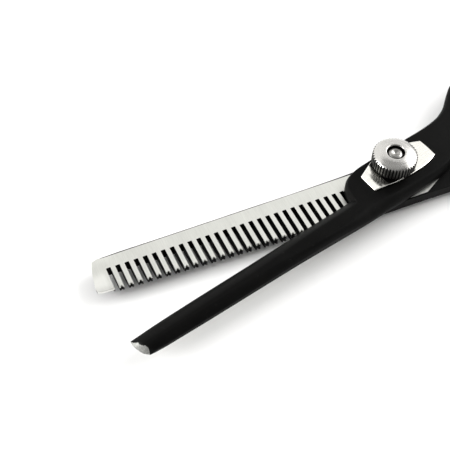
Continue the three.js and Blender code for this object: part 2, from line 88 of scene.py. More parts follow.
def pchip(xs, ys, x):
    """Monotone cubic through (xs, ys) at x. ys may have several columns."""
    xs = np.asarray(xs, float)
    ys = np.asarray(ys, float)
    flat = ys.ndim == 1
    if flat:
        ys = ys[:, None]
    if xs[0] > xs[-1]:
        xs, ys = xs[::-1], ys[::-1]
    x = np.clip(np.atleast_1d(np.asarray(x, float)), xs[0], xs[-1])
    h = np.diff(xs)[:, None]
    d = np.diff(ys, axis=0) / h
    m = np.zeros_like(ys)
    same = d[:-1] * d[1:] > 0
    w1, w2 = 2 * h[1:] + h[:-1], h[1:] + 2 * h[:-1]
    with np.errstate(divide="ignore", invalid="ignore"):
        inner = (w1 + w2) / (w1 / d[:-1] + w2 / d[1:])
    m[1:-1] = np.where(same, inner, 0)
    m[0], m[-1] = d[0], d[-1]
    i = np.clip(np.searchsorted(xs, x, side="right") - 1, 0, len(xs) - 2)
    hi = h[i]
    t = ((x - xs[i])[:, None]) / hi
    out = ((2 * t**3 - 3 * t**2 + 1) * ys[i] + (t**3 - 2 * t**2 + t) * hi * m[i]
           + (-2 * t**3 + 3 * t**2) * ys[i + 1] + (t**3 - t**2) * hi * m[i + 1])
    return out[:, 0] if flat else out


def smooth(a, b, x):
    t = np.clip((np.asarray(x, float) - a) / (b - a), 0, 1)
    return t * t * (3 - 2 * t)


def dome(t):
    """Quarter circle: 0 at t = 0 with an upright tangent, 1 from t = 1 on."""
    t = np.clip(t, 0, 1)
    return np.sqrt(np.maximum(0, 1 - (1 - t) ** 2))


def spaced(points, step, closed=False):
    """The polyline resampled at even steps of about step."""
    p = np.asarray(points, float)
    if closed:
        p = np.vstack([p, p[:1]])
    s = np.r_[0, np.cumsum(np.linalg.norm(np.diff(p, axis=0), axis=1))]
    n = max(2, int(round(s[-1] / step)))
    u = np.linspace(0, s[-1], n + 1)
    q = np.stack([np.interp(u, s, p[:, k]) for k in range(p.shape[1])], 1)
    return q[:-1] if closed else q


def curve_through(points, step):
    """Smooth curve through the points, resampled."""
    p = np.asarray(points, float)
    s = np.r_[0, np.cumsum(np.linalg.norm(np.diff(p, axis=0), axis=1) ** 0.5)]
    m = np.zeros_like(p)
    m[1:-1] = (p[2:] - p[:-2]) / (s[2:] - s[:-2])[:, None]
    m[0] = 2 * (p[1] - p[0]) / (s[1] - s[0]) - m[1]
    m[-1] = 2 * (p[-1] - p[-2]) / (s[-1] - s[-2]) - m[-2]
    out = []
    for i in range(len(p) - 1):
        h = s[i + 1] - s[i]
        for t in np.linspace(0, 1, 24, endpoint=False):
            out.append((2 * t**3 - 3 * t**2 + 1) * p[i] + (t**3 - 2 * t**2 + t) * h * m[i]
                       + (-2 * t**3 + 3 * t**2) * p[i + 1] + (t**3 - t**2) * h * m[i + 1])
    out.append(p[-1])
    return spaced(out, step)


def hermite(a, ta, b, tb, n=40):
    a, ta, b, tb = (np.asarray(v, float) for v in (a, ta, b, tb))
    t = np.linspace(0, 1, n)[:, None]
    return ((2 * t**3 - 3 * t**2 + 1) * a + (t**3 - 2 * t**2 + t) * ta
            + (-2 * t**3 + 3 * t**2) * b + (t**3 - t**2) * tb)


def segment_distance(p, a, b):
    """Distance of every point p to the nearest of the segments a-b."""
    out = np.full(len(p), 1e9)
    ab = b - a
    ll = np.maximum((ab**2).sum(1), 1e-12)
    for k in range(0, len(p), 2000):
        q = p[k:k + 2000, None, :]
        t = np.clip(((q - a) * ab).sum(2) / ll, 0, 1)
        d = np.linalg.norm(q - (a + t[..., None] * ab), axis=2)
        out[k:k + 2000] = d.min(1)
    return out


def inside(p, poly):
    a, b = poly, np.roll(poly, -1, axis=0)
    x, y = p[:, :1], p[:, 1:2]
    with np.errstate(divide="ignore", invalid="ignore"):
        cross = (a[:, 1] > y) != (b[:, 1] > y)
        xi = a[:, 0] + (y - a[:, 1]) / (b[:, 1] - a[:, 1]) * (b[:, 0] - a[:, 0])
    return (cross & (x < xi)).sum(1) % 2 == 1


# ---------------------------------------------------------------- mesh helpers


def new_object(name, verts, faces, merge=2e-3, turn=0.0):
    """Mesh object in millimetres with merged points and faces pointing out."""
    bm = bmesh.new()
    vs = [bm.verts.new(v) for v in verts]
    for f in faces:
        q = []
        for i in f:
            if not q or vs[i] is not q[-1]:
                q.append(vs[i])
        if len(set(q)) >= 3:
            try:
                bm.faces.new(q)
            except ValueError:
                pass
    bmesh.ops.remove_doubles(bm, verts=bm.verts, dist=merge)
    bmesh.ops.dissolve_degenerate(bm, dist=1e-5, edges=bm.edges)
    bmesh.ops.recalc_face_normals(bm, faces=bm.faces)
    loose = [v for v in bm.verts if not v.link_faces]
    bmesh.ops.delete(bm, geom=loose, context="VERTS")
    if turn:
        bmesh.ops.rotate(bm, verts=bm.verts, cent=(0, 0, 0), matrix=Matrix.Rotation(turn, 3, "Z"))
    me = bpy.data.meshes.new(name)
    bm.to_mesh(me)
    bm.free()
    ob = bpy.data.objects.new(name, me)
    LINKS.link(ob)
    return ob


def cut(ob, cutters, operation="DIFFERENCE"):
    """Boolean with the joined cutters, applied."""
    verts, faces = [], []
    for v, f in cutters:
        base = len(verts)
        verts += [tuple(p) for p in v]
        faces += [[i + base for i in q] for q in f]
    tool = new_object("cutter", verts, faces, merge=1e-6)
    mod = ob.modifiers.new("cut", "BOOLEAN")
    mod.operation = operation
    mod.object = tool
    mod.solver = "EXACT"
    bpy.context.view_layer.update()
    ev = ob.evaluated_get(bpy.context.evaluated_depsgraph_get())
    me = bpy.data.meshes.new_from_object(ev)
    ob.modifiers.clear()
    old = ob.data
    ob.data = me
    bpy.data.meshes.remove(old)
    bpy.data.objects.remove(tool)
    return ob


def prism(points, z0, z1):
    n = len(points)
    v = [(x, y, z0) for x, y in points] + [(x, y, z1) for x, y in points]
    f = [list(range(n))[::-1], list(range(n, 2 * n))]
    f += [[i, (i + 1) % n, n + (i + 1) % n, n + i] for i in range(n)]
    return v, f


def tube_cutter(r, a, b, n=48):
    """Cylinder between the points a and b."""
    a, b = Vector(a), Vector(b)
    q = (b - a).to_track_quat("Z", "Y")
    ring = [q @ Vector((r * math.cos(2 * math.pi * i / n), r * math.sin(2 * math.pi * i / n), 0)) for i in range(n)]
    v = [tuple(a + p) for p in ring] + [tuple(b + p) for p in ring]
    f = [list(range(n))[::-1], list(range(n, 2 * n))]
    f += [[i, (i + 1) % n, n + (i + 1) % n, n + i] for i in range(n)]
    return v, f


def rounded(points, radius, n=4, closed=True):
    """The polygon with its corners rounded. radius is a number, or one for each corner."""
    p = [np.asarray(q, float) for q in points]
    out = []
    for i in range(len(p)):
        if not closed and i in (0, len(p) - 1):
            out.append(tuple(p[i]))
            continue
        r = radius if np.isscalar(radius) else radius[i]
        a, b, c = p[i - 1], p[i], p[(i + 1) % len(p)]
        la, lc = np.linalg.norm(a - b), np.linalg.norm(c - b)
        r = min(r, 0.45 * la, 0.45 * lc)
        if r <= 1e-6:
            out.append(tuple(b))
            continue
        s, e = b + (a - b) / la * r, b + (c - b) / lc * r
        for t in np.linspace(0, 1, n + 1):
            out.append(tuple((1 - t) ** 2 * s + 2 * t * (1 - t) * b + t * t * e))
    return out


def lathe(profile, n=128, loop=False):
    """Solid of revolution about Z from (r, z) points."""
    verts, faces, rows = [], [], []
    for r, z in profile:
        if r < 1e-6:
            rows.append([len(verts)] * n)
            verts.append((0, 0, z))
        else:
            rows.append(list(range(len(verts), len(verts) + n)))
            verts += [(r * math.cos(2 * math.pi * i / n), r * math.sin(2 * math.pi * i / n), z) for i in range(n)]
    count = len(rows)
    for k in range(count if loop else count - 1):
        a, b = rows[k], rows[(k + 1) % count]
        for i in range(n):
            j = (i + 1) % n
            q = [a[i], a[j], b[j], b[i]]
            faces.append([v for m, v in enumerate(q) if v != q[m - 1]])
    return verts, faces


def sweep(sections, loop=False):
    """Quads through a row of sections with equal counts; flat fans close the ends."""
    m = len(sections[0])
    verts = [tuple(p) for s in sections for p in s]
    faces = []
    for i in range(len(sections) if loop else len(sections) - 1):
        a, b = i * m, ((i + 1) % len(sections)) * m
        faces += [[a + j, b + j, b + (j + 1) % m, a + (j + 1) % m] for j in range(m)]
    if not loop:
        faces.append(list(range(m)))
        faces.append([(len(sections) - 1) * m + j for j in range(m)][::-1])
    return verts, faces


def triangulate(points, edges, keep):
    """Constrained Delaunay triangulation; keep(centres) says which triangles stay."""
    v, _, f, _, _, _ = delaunay_2d_cdt([Vector(p) for p in points], edges, [], 0, 1e-6, True)
    pts = np.array([(q.x, q.y) for q in v])
    tri = np.array([list(t) for t in f])
    ok = keep(pts[tri].mean(1))
    return pts, tri[ok]


def thin_out(points, others, gap):
    """Drops points that lie nearer than gap to one already kept."""
    kept, grid = [], {}

    def cell(p):
        return int(math.floor(p[0] / gap)), int(math.floor(p[1] / gap))

    for p in others:
        grid.setdefault(cell(p), []).append(p)
    mask = np.zeros(len(points), bool)
    for k, p in enumerate(points):
        cx, cy = cell(p)
        if any((p[0] - q[0]) ** 2 + (p[1] - q[1]) ** 2 < gap * gap
               for i in (-1, 0, 1) for j in (-1, 0, 1) for q in grid.get((cx + i, cy + j), ())):
            continue
        grid.setdefault((cx, cy), []).append(p)
        kept.append(p)
        mask[k] = True
    return kept, mask


def plan_sheet(loops, seam, layers, fill, z, lines=()):
    """One face (upper or lower) of a flat-lying shape, triangulated in plan.

    loops   boundary polylines: (points, closed); the material lies inside them all
    seam    plan points of an open side, which are not an edge of the material
    layers  distances from the edge at which rows of points follow it
    z       height at plan points, given the points and their distance to the edge
    """
    outer, closed = loops[0]
    ring = np.vstack([outer, seam]) if len(seam) else outer
    holes = [h for h, _ in loops[1:]]

    def within(p):
        ok = inside(p, ring)
        for h in holes:
            ok &= ~inside(p, h)
        return ok

    segs_a = [outer[:-1]] + ([outer[-1:]] if closed else []) + holes
    segs_b = [outer[1:]] + ([outer[:1]] if closed else []) + [np.roll(h, -1, axis=0) for h in holes]
    A, B = np.vstack(segs_a), np.vstack(segs_b)
    pts = [tuple(p) for p in ring]
    edges = [(i, (i + 1) % len(ring)) for i in range(len(ring))]
    for h in holes:
        base = len(pts)
        pts += [tuple(p) for p in h]
        edges += [(base + i, base + (i + 1) % len(h)) for i in range(len(h))]
    for line in lines:
        base = len(pts)
        pts += [tuple(p) for p in line]
        edges += [(base + i, base + i + 1) for i in range(len(line) - 1)]
    start = len(pts)
    boundary = list(pts)
    for d in layers:
        for loop_pts, is_closed in [(outer, closed)] + [(h, True) for h in holes]:
            p = np.asarray(loop_pts)
            nxt, prv = np.roll(p, -1, axis=0), np.roll(p, 1, axis=0)
            if not is_closed:
                nxt[-1], prv[0] = p[-1], p[0]
            t = nxt - prv
            t /= np.linalg.norm(t, axis=1)[:, None]
            nrm = np.stack([-t[:, 1], t[:, 0]], 1)
            probe = within(p + nrm * 0.02)
            sign = 1 if probe.mean() > 0.5 else -1
            q = p + sign * nrm * d
            true_d = segment_distance(q, A, B)
            ok = within(q) & (true_d > d * 0.985 - 0.002)
            previous = None
            for k in range(len(q)):
                if not ok[k]:
                    previous = None
                    continue
                near = [b for b in pts[start:] if abs(b[0] - q[k][0]) < 0.16 and abs(b[1] - q[k][1]) < 0.16] if d > layers[-1] * 0.8 else []
                if near:
                    previous = None
                    continue
                pts.append((q[k][0], q[k][1]))
                if previous is not None:
                    edges.append((previous, len(pts) - 1))
                previous = len(pts) - 1
    lo, hi = ring.min(0), ring.max(0)
    gx = np.arange(lo[0], hi[0], fill)
    gy = np.arange(lo[1], hi[1], fill * 0.87)
    grid = np.array([(x + (fill / 2 if j % 2 else 0), y) for j, y in enumerate(gy) for x in gx])
    grid = grid[within(grid)]
    if len(grid):
        grid = grid[segment_distance(grid, A, B) > (layers[-1] if len(layers) else 0) + fill * 0.35]
    if len(grid):
        extra, _ = thin_out([tuple(p) for p in grid], pts[:], fill * 0.55)
        pts += extra
    P, tri = triangulate(pts, edges, within)
    d = segment_distance(P, A, B)
    d[d < 2e-4] = 0
    return np.c_[P, z(P, d)], tri


def walls(loop_pts, closed, z_low, z_high, rows=2):
    """Upright band between the two faces' edges."""
    n = len(loop_pts)
    verts, faces = [], []
    for k in range(rows + 1):
        for i in range(n):
            z = z_low[i] + (z_high[i] - z_low[i]) * k / rows
            verts.append((loop_pts[i][0], loop_pts[i][1], z))
    for k in range(rows):
        for i in range(n if closed else n - 1):
            j = (i + 1) % n
            faces.append([k * n + i, k * n + j, (k + 1) * n + j, (k + 1) * n + i])
    return verts, faces


def joined(*parts):
    verts, faces = [], []
    for v, f in parts:
        base = len(verts)
        verts += [tuple(p) for p in v]
        faces += [[int(i) + base for i in q] for q in f]
    return verts, faces


# ---------------------------------------------------------------- the two halves
RING_A, RING_B, RING_W, RING_Z, RING_POWER = 15.5, 13.0, 2.0, 3.30, 2.15
COMB_RING, STRAIGHT_RING = (-64.0, 17.5), (-69.0, -18.0)


def ring_point(centre, t, offset):
    ct, st, q = math.cos(t), math.sin(t), 2 / RING_POWER
    x = RING_A * math.copysign(abs(ct) ** q, ct)
    y = RING_B * math.copysign(abs(st) ** q, st)
    nx = math.copysign(abs(x / RING_A) ** (RING_POWER - 1), x) / RING_A
    ny = math.copysign(abs(y / RING_B) ** (RING_POWER - 1), y) / RING_B
    k = math.hypot(nx, ny)
    return np.array([centre[0] + x + offset * nx / k, centre[1] + y + offset * ny / k])


N_IN, N_OUT, N_FACE = 4, 8, 5      # segments on each inner corner, outer corner and plateau


def half_section(row, e, bend):
    x, ya, yb, zi, zo, ha, hb, la, lb, c = row
    s, t = math.copysign(1, zo - zi), abs(zo - zi)
    p = []
    for k in range(N_FACE):
        p.append((ya + c + (yb - ya - 2 * c) * k / N_FACE, 0))
    for k in range(N_IN):
        a = math.pi / 2 * k / N_IN
        p.append((yb - c + c * math.sin(a), 0.8 * c * (1 - math.cos(a))))
    p.append((yb, 0.8 * c))
    p.append((yb, (0.8 * c + hb) / 2))
    for k in range(N_OUT):
        a = math.pi / 2 * k / N_OUT
        p.append((yb - lb * (1 - math.cos(a) ** e), hb + (t - hb) * math.sin(a) ** e))
    for k in range(N_FACE):
        p.append((yb - lb + (ya + la - yb + lb) * k / N_FACE, t))
    for k in range(N_OUT):
        a = math.pi / 2 * (1 - k / N_OUT)
        p.append((ya + la * (1 - math.cos(a) ** e), ha + (t - ha) * math.sin(a) ** e))
    p.append((ya, ha))
    p.append((ya, (0.8 * c + ha) / 2))
    for k in range(N_IN):
        a = math.pi / 2 * (1 - k / N_IN)
        p.append((ya + c - c * math.sin(a), 0.8 * c * (1 - math.cos(a))))
    return [(x + bend(x, y), y, zi + s * h) for y, h in p]


def half_mesh(table, xs, x_round, x_crisp, bend, centre, hole_side, step=0.5):
    """A half from tip to ring: lofted blade and shank, plan-built ring, one closed surface."""
    tab = np.array(table, float)[::-1]                      # x rising
    seam_x = tab[0, 0]
    rows = pchip(tab[:, 0], tab, xs)
    rows[:, 0] = xs
    linear = np.stack([np.interp(xs, tab[:, 0], tab[:, k]) for k in range(tab.shape[1])], 1)
    crisp = xs > x_crisp
    rows[crisp] = linear[crisp]
    e = 1 + 0.45 * smooth(x_round[0], x_round[1], xs)
    secs = [half_section(r, ee, bend) for r, ee in zip(rows, e)]
    m = len(secs[0])
    loft_v = [p for s in secs for p in s]
    loft_f = []
    for i in range(len(secs) - 1):
        a, b = i * m, (i + 1) * m
        loft_f += [[a + j, b + j, b + (j + 1) % m, a + (j + 1) % m] for j in range(m)]
    # the tip's end: strips between the inner and the outer side
    last = (len(secs) - 1) * m
    lower = [last + j for j in range(m)]
    left = 0
    right = N_FACE + N_IN + 1
    # walk both sides of the section from the +Y wall to the -Y wall
    up_side = [lower[(right - k) % m] for k in range(right + N_IN + 2)]
    down_side = [lower[(right + k) % m] for k in range(m - len(up_side) + 2)]
    loft_f += strip(up_side, down_side)

    # the ring end, drawn in plan
    first = rows[0]
    ya, yb, zi, zo, ha, hb, la, lb, c = first[1:]
    s = math.copysign(1, zo - zi)
    t = abs(zo - zi)
    sgn = 1 if centre[1] > 0 else -1                         # the ring lies to this side
    y_near, y_far = (yb, ya) if sgn > 0 else (ya, yb)        # near: the edge that flares round the ring
    t1, t2 = 0.42, -1.16
    ring_t = np.linspace(t1, 2 * math.pi + t2, 330)
    ring_pts = np.array([ring_point((0, 0), q, RING_W) for q in ring_t]) * [1, sgn] + np.array(centre)
    tan0 = (ring_pts[1] - ring_pts[0]) / np.linalg.norm(ring_pts[1] - ring_pts[0])
    tan1 = (ring_pts[-1] - ring_pts[-2]) / np.linalg.norm(ring_pts[-1] - ring_pts[-2])
    a = np.array([seam_x, y_near])
    b = np.array([seam_x, y_far])
    la_, lb_ = np.linalg.norm(ring_pts[0] - a), np.linalg.norm(ring_pts[-1] - b)
    join_a = hermite(a, np.array([-1, 0.03 * sgn]) * la_ * 1.25, ring_pts[0], tan0 * la_ * 1.05)
    join_b = hermite(ring_pts[-1], tan1 * lb_ * 0.95, b, np.array([1, 0.0]) * lb_ * 0.95)
    outline = spaced(np.vstack([join_a[:-1], ring_pts, join_b[1:]]), step)
    outline[0], outline[-1] = a, b
    hole = spaced([ring_point((0, 0), q, -RING_W) * [1, sgn] + np.array(centre)
                   for q in np.linspace(0, 2 * math.pi, 400, endpoint=False)], step, closed=True)
    centre_line = np.array([ring_point((0, 0), q, 0) * [1, sgn] + np.array(centre)
                            for q in np.linspace(0, 2 * math.pi, 240, endpoint=False)])

    def weight(p):
        q = segment_distance(p, centre_line, np.roll(centre_line, -1, axis=0))
        return 1 - smooth(1.0, 6.0, q)

    def mix(a0, a1, w):
        return a0 + (a1 - a0) * w

    z_in_edge, z_out_edge = zi + s * 0.8 * c, zi + s * ha       # the shank's edge wall
    r_in, r_out = c, la
    ring_in, ring_out = RING_Z - s * 0.25, RING_Z + s * 0.25

    def z_inner(p, d):
        w = weight(p)
        r = mix(r_in, RING_W, w)
        return mix(z_in_edge, ring_in, w) - s * mix(0.8 * c, 3.05, w) * dome(d / r)

    def z_outer(p, d):
        w = weight(p)
        r = mix(r_out, RING_W, w)
        return mix(z_out_edge, ring_out, w) + s * mix(t - ha, 3.05, w) * dome(d / r)

    layers = [RING_W * (1 - math.cos(math.radians(q))) for q in (13, 26, 39, 52, 65, 78, 90)]
    sec0 = secs[0]
    inner_ys = [sec0[j][1] for j in range(1, N_FACE + N_IN + 1)] + [sec0[j][1] for j in range(m - N_IN + 1, m)] + [sec0[0][1]]
    outer_ys = [sec0[j][1] for j in range(N_FACE + N_IN + 3, m - N_IN - 2)]

    def seam_points(ys):
        ys = sorted({round(y, 6) for y in ys if min(ya, yb) + 1e-3 < y < max(ya, yb) - 1e-3}, reverse=bool(y_far > y_near))
        return np.array([(seam_x, y) for y in ys])

    loops = [(outline, False), (hole, True)]
    v1, f1 = plan_sheet(loops, seam_points(inner_ys), layers, 0.8, z_inner)
    v2, f2 = plan_sheet(loops, seam_points(outer_ys), layers, 0.8, z_outer)
    parts = [(loft_v, loft_f), (v1, f1), (v2, f2)]
    for pts, closed in loops:
        zero = np.zeros(len(pts))
        zl, zh = z_outer(pts, zero), z_inner(pts, zero)
        parts.append(walls(pts, closed, zl, zh))
    return joined(*parts)


def strip(a, b):
    """Faces between two chains with the same two end points."""
    faces = []
    i = j = 0
    while i < len(a) - 1 or j < len(b) - 1:
        fi, fj = i / max(1, len(a) - 1), j / max(1, len(b) - 1)
        if j >= len(b) - 1 or (i < len(a) - 1 and fi <= fj):
            f = [a[i], a[i + 1], b[j]]
            i += 1
        else:
            f = [a[i], b[j + 1], b[j]]
            j += 1
        if len(set(f)) == 3:
            faces.append(f)
    return faces


Z = 3.60
COMB = [
    [65.3, -5.80, 1.05, Z, 2.40, 0.50, 0.42, 0.60, 1.20, 0.08],
    [64.4, -6.12, 1.36, Z, 1.35, 0.80, 0.45, 0.90, 3.00, 0.08],
    [62.6, -6.09, 1.54, Z, 1.10, 0.88, 0.50, 0.95, 3.60, 0.08],
    [62.15, -6.08, 1.60, Z, 1.04, 0.91, 1.00, 0.97, 4.40, 0.10],
    [61.0, -6.07, 1.70, Z, 0.96, 0.95, 1.30, 1.00, 4.90, 0.13],
    [50.0, -5.59, 2.62, Z, 0.92, 1.00, 1.45, 1.00, 5.20, 0.13],
    [40.0, -5.15, 3.45, Z, 0.92, 1.05, 1.75, 1.00, 5.20, 0.13],
    [30.0, -4.72, 4.28, Z, 0.92, 1.10, 1.95, 1.00, 5.20, 0.13],
    [21.0, -4.29, 5.02, Z, 0.92, 1.20, 2.05, 1.00, 5.20, 0.13],
    [14.0, -4.05, 5.60, Z, 0.92, 1.50, 1.95, 0.90, 5.00, 0.13],
    [11.0, -3.96, 5.88, Z, 0.92, 1.70, 1.85, 0.80, 4.00, 0.13],
    [8.00, -3.90, 6.50, Z, 0.92, 1.90, 1.60, 0.60, 1.60, 0.08],
    [5.00, -3.90, 7.05, Z, 0.92, 2.10, 2.15, 0.50, 0.60, 0.08],
    [1.50, -3.90, 7.22, Z, 0.90, 2.20, 2.20, 0.50, 0.50, 0.08],
    [-3.0, -3.85, 7.46, Z, 0.90, 2.20, 2.20, 0.50, 0.50, 0.10],
    [-7.0, -3.65, 7.70, Z, 0.90, 2.20, 2.20, 0.50, 0.50, 0.12],
    [-10.2, -3.20, 7.95, Z, 0.90, 2.15, 2.15, 0.55, 0.55, 0.15],
    [-13.0, -2.40, 8.20, Z, 0.90, 2.10, 2.10, 0.60, 0.60, 0.20],
    [-16.0, -1.15, 8.65, Z, 0.90, 2.05, 2.05, 0.70, 0.70, 0.25],
    [-19.0, 0.30, 9.45, Z, 0.90, 2.00, 2.00, 0.80, 0.80, 0.30],
    [-22.0, 1.50, 10.65, Z, 0.90, 1.95, 1.95, 0.90, 0.90, 0.40],
    [-25.0, 2.40, 11.85, Z, 0.88, 1.95, 1.95, 1.00, 1.00, 0.50],
    [-28.0, 3.10, 12.65, 4.2, 0.84, 2.20, 2.20, 1.20, 1.20, 0.80],
    [-32.0, 3.75, 13.25, 5.2, 0.76, 2.90, 2.90, 1.40, 1.40, 1.10],
    [-38.0, 4.15, 13.55, 5.8, 0.70, 3.30, 3.30, 1.50, 1.50, 1.40],
    [-42.5, 4.25, 13.70, 5.9, 0.66, 3.40, 3.40, 1.50, 1.50, 1.50],
]
U, T = 3.65, 6.40
STRAIGHT = [
    [64.9, 2.42, 6.74, U, 3.98, 0.10, 0.20, 1.60, 1.00, 0.04],
    [63.8, 2.36, 6.86, U, 5.40, 0.12, 0.80, 2.50, 1.40, 0.05],
    [60.0, 2.12, 6.96, U, 5.58, 0.12, 0.80, 2.80, 1.50, 0.05],
    [50.0, 1.77, 6.98, U, 5.80, 0.12, 0.90, 2.90, 1.60, 0.05],
    [40.0, 1.55, 6.92, U, 6.00, 0.12, 1.00, 2.90, 1.50, 0.05],
    [30.0, 1.30, 6.87, U, 6.20, 0.14, 1.15, 2.70, 1.15, 0.05],
    [21.6, 1.10, 6.98, U, 6.34, 0.16, 1.30, 2.50, 0.80, 0.05],
    [15.0, 1.02, 7.08, U, T, 0.20, 1.10, 2.40, 1.25, 0.06],
    [12.0, 0.90, 7.10, U, T, 0.30, 0.90, 2.20, 1.65, 0.06],
    [11.8, 0.10, 7.10, U, T, 0.80, 0.85, 2.00, 1.67, 0.06],
    [11.4, -1.15, 7.10, U, T, 1.40, 0.80, 1.40, 1.70, 0.08],
    [10.8, -2.10, 7.09, U, T, 1.80, 0.80, 0.90, 1.72, 0.08],
    [9.90, -2.85, 7.08, U, T, 2.00, 0.80, 0.60, 1.72, 0.10],
    [8.20, -3.50, 7.06, U, T, 2.15, 0.80, 0.45, 1.70, 0.10],
    [5.30, -3.95, 7.03, U, T, 2.25, 0.85, 0.40, 1.50, 0.10],
    [0.00, -4.12, 7.00, U, T, 2.25, 0.95, 0.40, 1.25, 0.10],
    [-5.0, -4.20, 6.84, U, T, 2.25, 1.05, 0.40, 0.98, 0.10],
    [-9.0, -4.30, 6.45, U, T, 2.20, 1.20, 0.45, 0.80, 0.12],
    [-11.6, -4.36, 5.85, U, T, 2.15, 1.35, 0.50, 0.75, 0.15],
    [-14.9, -4.66, 4.50, U, T, 2.10, 1.50, 0.60, 0.80, 0.20],
    [-17.3, -5.08, 3.15, U, T, 2.05, 1.60, 0.70, 0.80, 0.25],
    [-19.0, -5.69, 2.05, U, T, 2.00, 1.70, 0.75, 0.85, 0.30],
    [-20.6, -6.46, 1.05, U, T, 2.00, 1.75, 0.80, 0.90, 0.35],
    [-22.4, -7.66, 0.05, U, T, 2.00, 1.80, 0.90, 0.95, 0.40],
    [-24.4, -9.15, -0.95, U, T, 2.00, 1.85, 1.00, 1.00, 0.50],
    [-26.6, -10.52, -1.90, 3.40, T, 2.10, 2.00, 1.20, 1.20, 0.70],
    [-29.0, -11.45, -2.70, 2.70, T, 2.50, 2.50, 1.40, 1.40, 0.90],
    [-33.0, -12.25, -3.55, 1.70, 6.32, 2.90, 2.90, 1.50, 1.50, 1.20],
    [-38.0, -12.90, -4.15, 1.10, 6.15, 3.20, 3.20, 1.50, 1.50, 1.40],
    [-44.0, -13.40, -4.45, 0.80, 6.00, 3.30, 3.30, 1.50, 1.50, 1.50],
]
COMB_END = [[-6.2, -1.45], [-5.2, -1.0], [-2.3, -0.30], [0.0, 0], [1.1, -0.08], [1.5, -0.2]]
TIP_END = [[2.2, -0.15], [2.39, -0.1], [3.38, 0], [4.67, -0.3], [6.07, -0.9], [6.75, -1.7], [7.0, -1.9]]
SLOTS, PITCH, SLOT_W, SLOT_X = 28, 1.853, 0.92, 62.0


def comb_bend(x, y):
    k, v = zip(*COMB_END)
    return float(np.interp(y, k, v)) * min(1, max(0, (x - 60) / 4.2))


def straight_bend(x, y):
    k, v = zip(*TIP_END)
    return float(np.interp(y, k, v)) * min(1, max(0, (x - 59) / 4.6))


def stations(*spans):
    out = []
    for a, b, step in spans:
        out += list(np.linspace(a, b, max(1, int(round(abs(b - a) / step))), endpoint=False))
    out.append(spans[-1][1])
    return np.array(out)


comb_xs = stations((-42.5, -8, 0.6), (-8, 15, 0.5), (15, 60, 1.5), (60, 62.15, 0.43), (62.15, 62.6, 0.225), (62.6, 64.4, 0.3), (64.4, 65.3, 0.3))
v, f = half_mesh(COMB, comb_xs, (-34, -18), 60.5, comb_bend, COMB_RING, 1)
comb = new_object("comb_blade", v, f)
cutters = []
for i in range(SLOTS):
    x1 = SLOT_X - i * PITCH
    x0 = x1 - SLOT_W
    y_end = -3.30 + 0.0559 * (SLOT_X - x1)
    r = 0.10
    cutters.append(prism([(x0, 9.0), (x0, y_end + r), (x0 + r * 0.3, y_end + r * 0.3), (x0 + r, y_end),
                          (x1 - r, y_end), (x1 - r * 0.3, y_end + r * 0.3), (x1, y_end + r), (x1, 9.0)], -1, Z + 1))
    if i < SLOTS - 1:
        xc = x0 - (PITCH - SLOT_W) / 2
        yt = 1.62 + 0.083 * (SLOT_X - xc)
        cutters.append(prism([(xc, yt - 0.36), (xc + 0.52, yt + 0.36), (xc - 0.52, yt + 0.36)], 0.5, 4.5))
s = 2.30
cutters.append(prism([(-s, -s), (s, -s), (s, s), (-s, s)], -1, Z + 1))
cutters.append(tube_cutter(2.52, (-65, 0, RING_Z), (-65, 2.85, RING_Z)))
cutters_2 = [tube_cutter(1.25, (-65, 1.0, RING_Z), (-65, 4.75, RING_Z), 32)]
cut(comb, cutters)
cut(comb, cutters_2)

straight_xs = stations((-44, -8, 0.5), (-8, 9, 0.5), (9, 12.2, 0.1), (12.2, 15, 0.4), (15, 59, 1.5), (59, 63.8, 0.4), (63.8, 64.9, 0.25))
v, f = half_mesh(STRAIGHT, straight_xs, (-34, -18), 62.0, straight_bend, STRAIGHT_RING, -1)
straight = new_object("straight_blade", v, f)
seat = ring_point(STRAIGHT_RING, math.radians(200), 0)
seat_dir = ring_point(STRAIGHT_RING, math.radians(200), 1) - seat


def on_seat(d, extra=(0, 0)):
    p = seat + seat_dir * d + np.array(extra)
    return (p[0], p[1], RING_Z)


SEAT_D = RING_W - 0.55
cut(straight, [tube_cutter(3.38, (0, 0, 0), (0, 0, 9), 96)])
cut(straight, [tube_cutter(4.28, (0, 0, 2), (0, 0, U + 0.45), 96), tube_cutter(2.75, on_seat(SEAT_D), on_seat(4))])
cut(straight, [tube_cutter(1.15, on_seat(-0.9), on_seat(3), 32)])

# ---------------------------------------------------------------- pivot hardware
screw_profile = ([(0, 0), (2.9, 0), (3.0, 0.06), (3.12, 0.06), (3.22, 0)]
                 + rounded([(4.10, 0), (4.40, 0.24), (4.40, 0.85), (2.30, 0.85)], [0, 0.2, 0.12, 0], 4, closed=False)[0:]
                 + [(2.30, 6.90), (1.46, 6.90)])
for k in range(18):                                    # rolled thread, seen only in the nut's recess
    screw_profile += [(1.46 if k % 2 else 1.33, 7.1 + k * 0.18)]
screw_profile += [(1.46, 10.28), (1.42, 10.38), (1.33, 10.46), (1.22, 10.52), (1.10, 10.58), (0.98, 10.62),
                  (0.90, 10.63), (0.80, 10.61), (0.66, 10.545), (0.50, 10.46), (0.34, 10.375), (0.18, 10.29),
                  (0.07, 10.24), (0, 10.23)]
v, f = lathe(screw_profile, 128)
neck = prism(rounded([(-2.2, -2.2), (2.2, -2.2), (2.2, 2.2), (-2.2, 2.2)], 0.25, 4), 0.6, 3.35)
screw = new_object("screw", v, f)
cut(screw, [neck], "UNION")

v, f = lathe(rounded([(2.38, U), (4.20, U), (4.20, U + 0.40), (3.30, U + 0.40), (3.30, 6.30), (2.38, 6.30)],
                     0.1, 4), 96, loop=True)
bush = new_object("bush", v, f)
v, f = lathe(rounded([(1.62, 7.12), (4.10, 7.12), (4.10, 7.35), (1.62, 7.35)], 0.07, 4), 128, loop=True)
washer = new_object("washer", v, f)


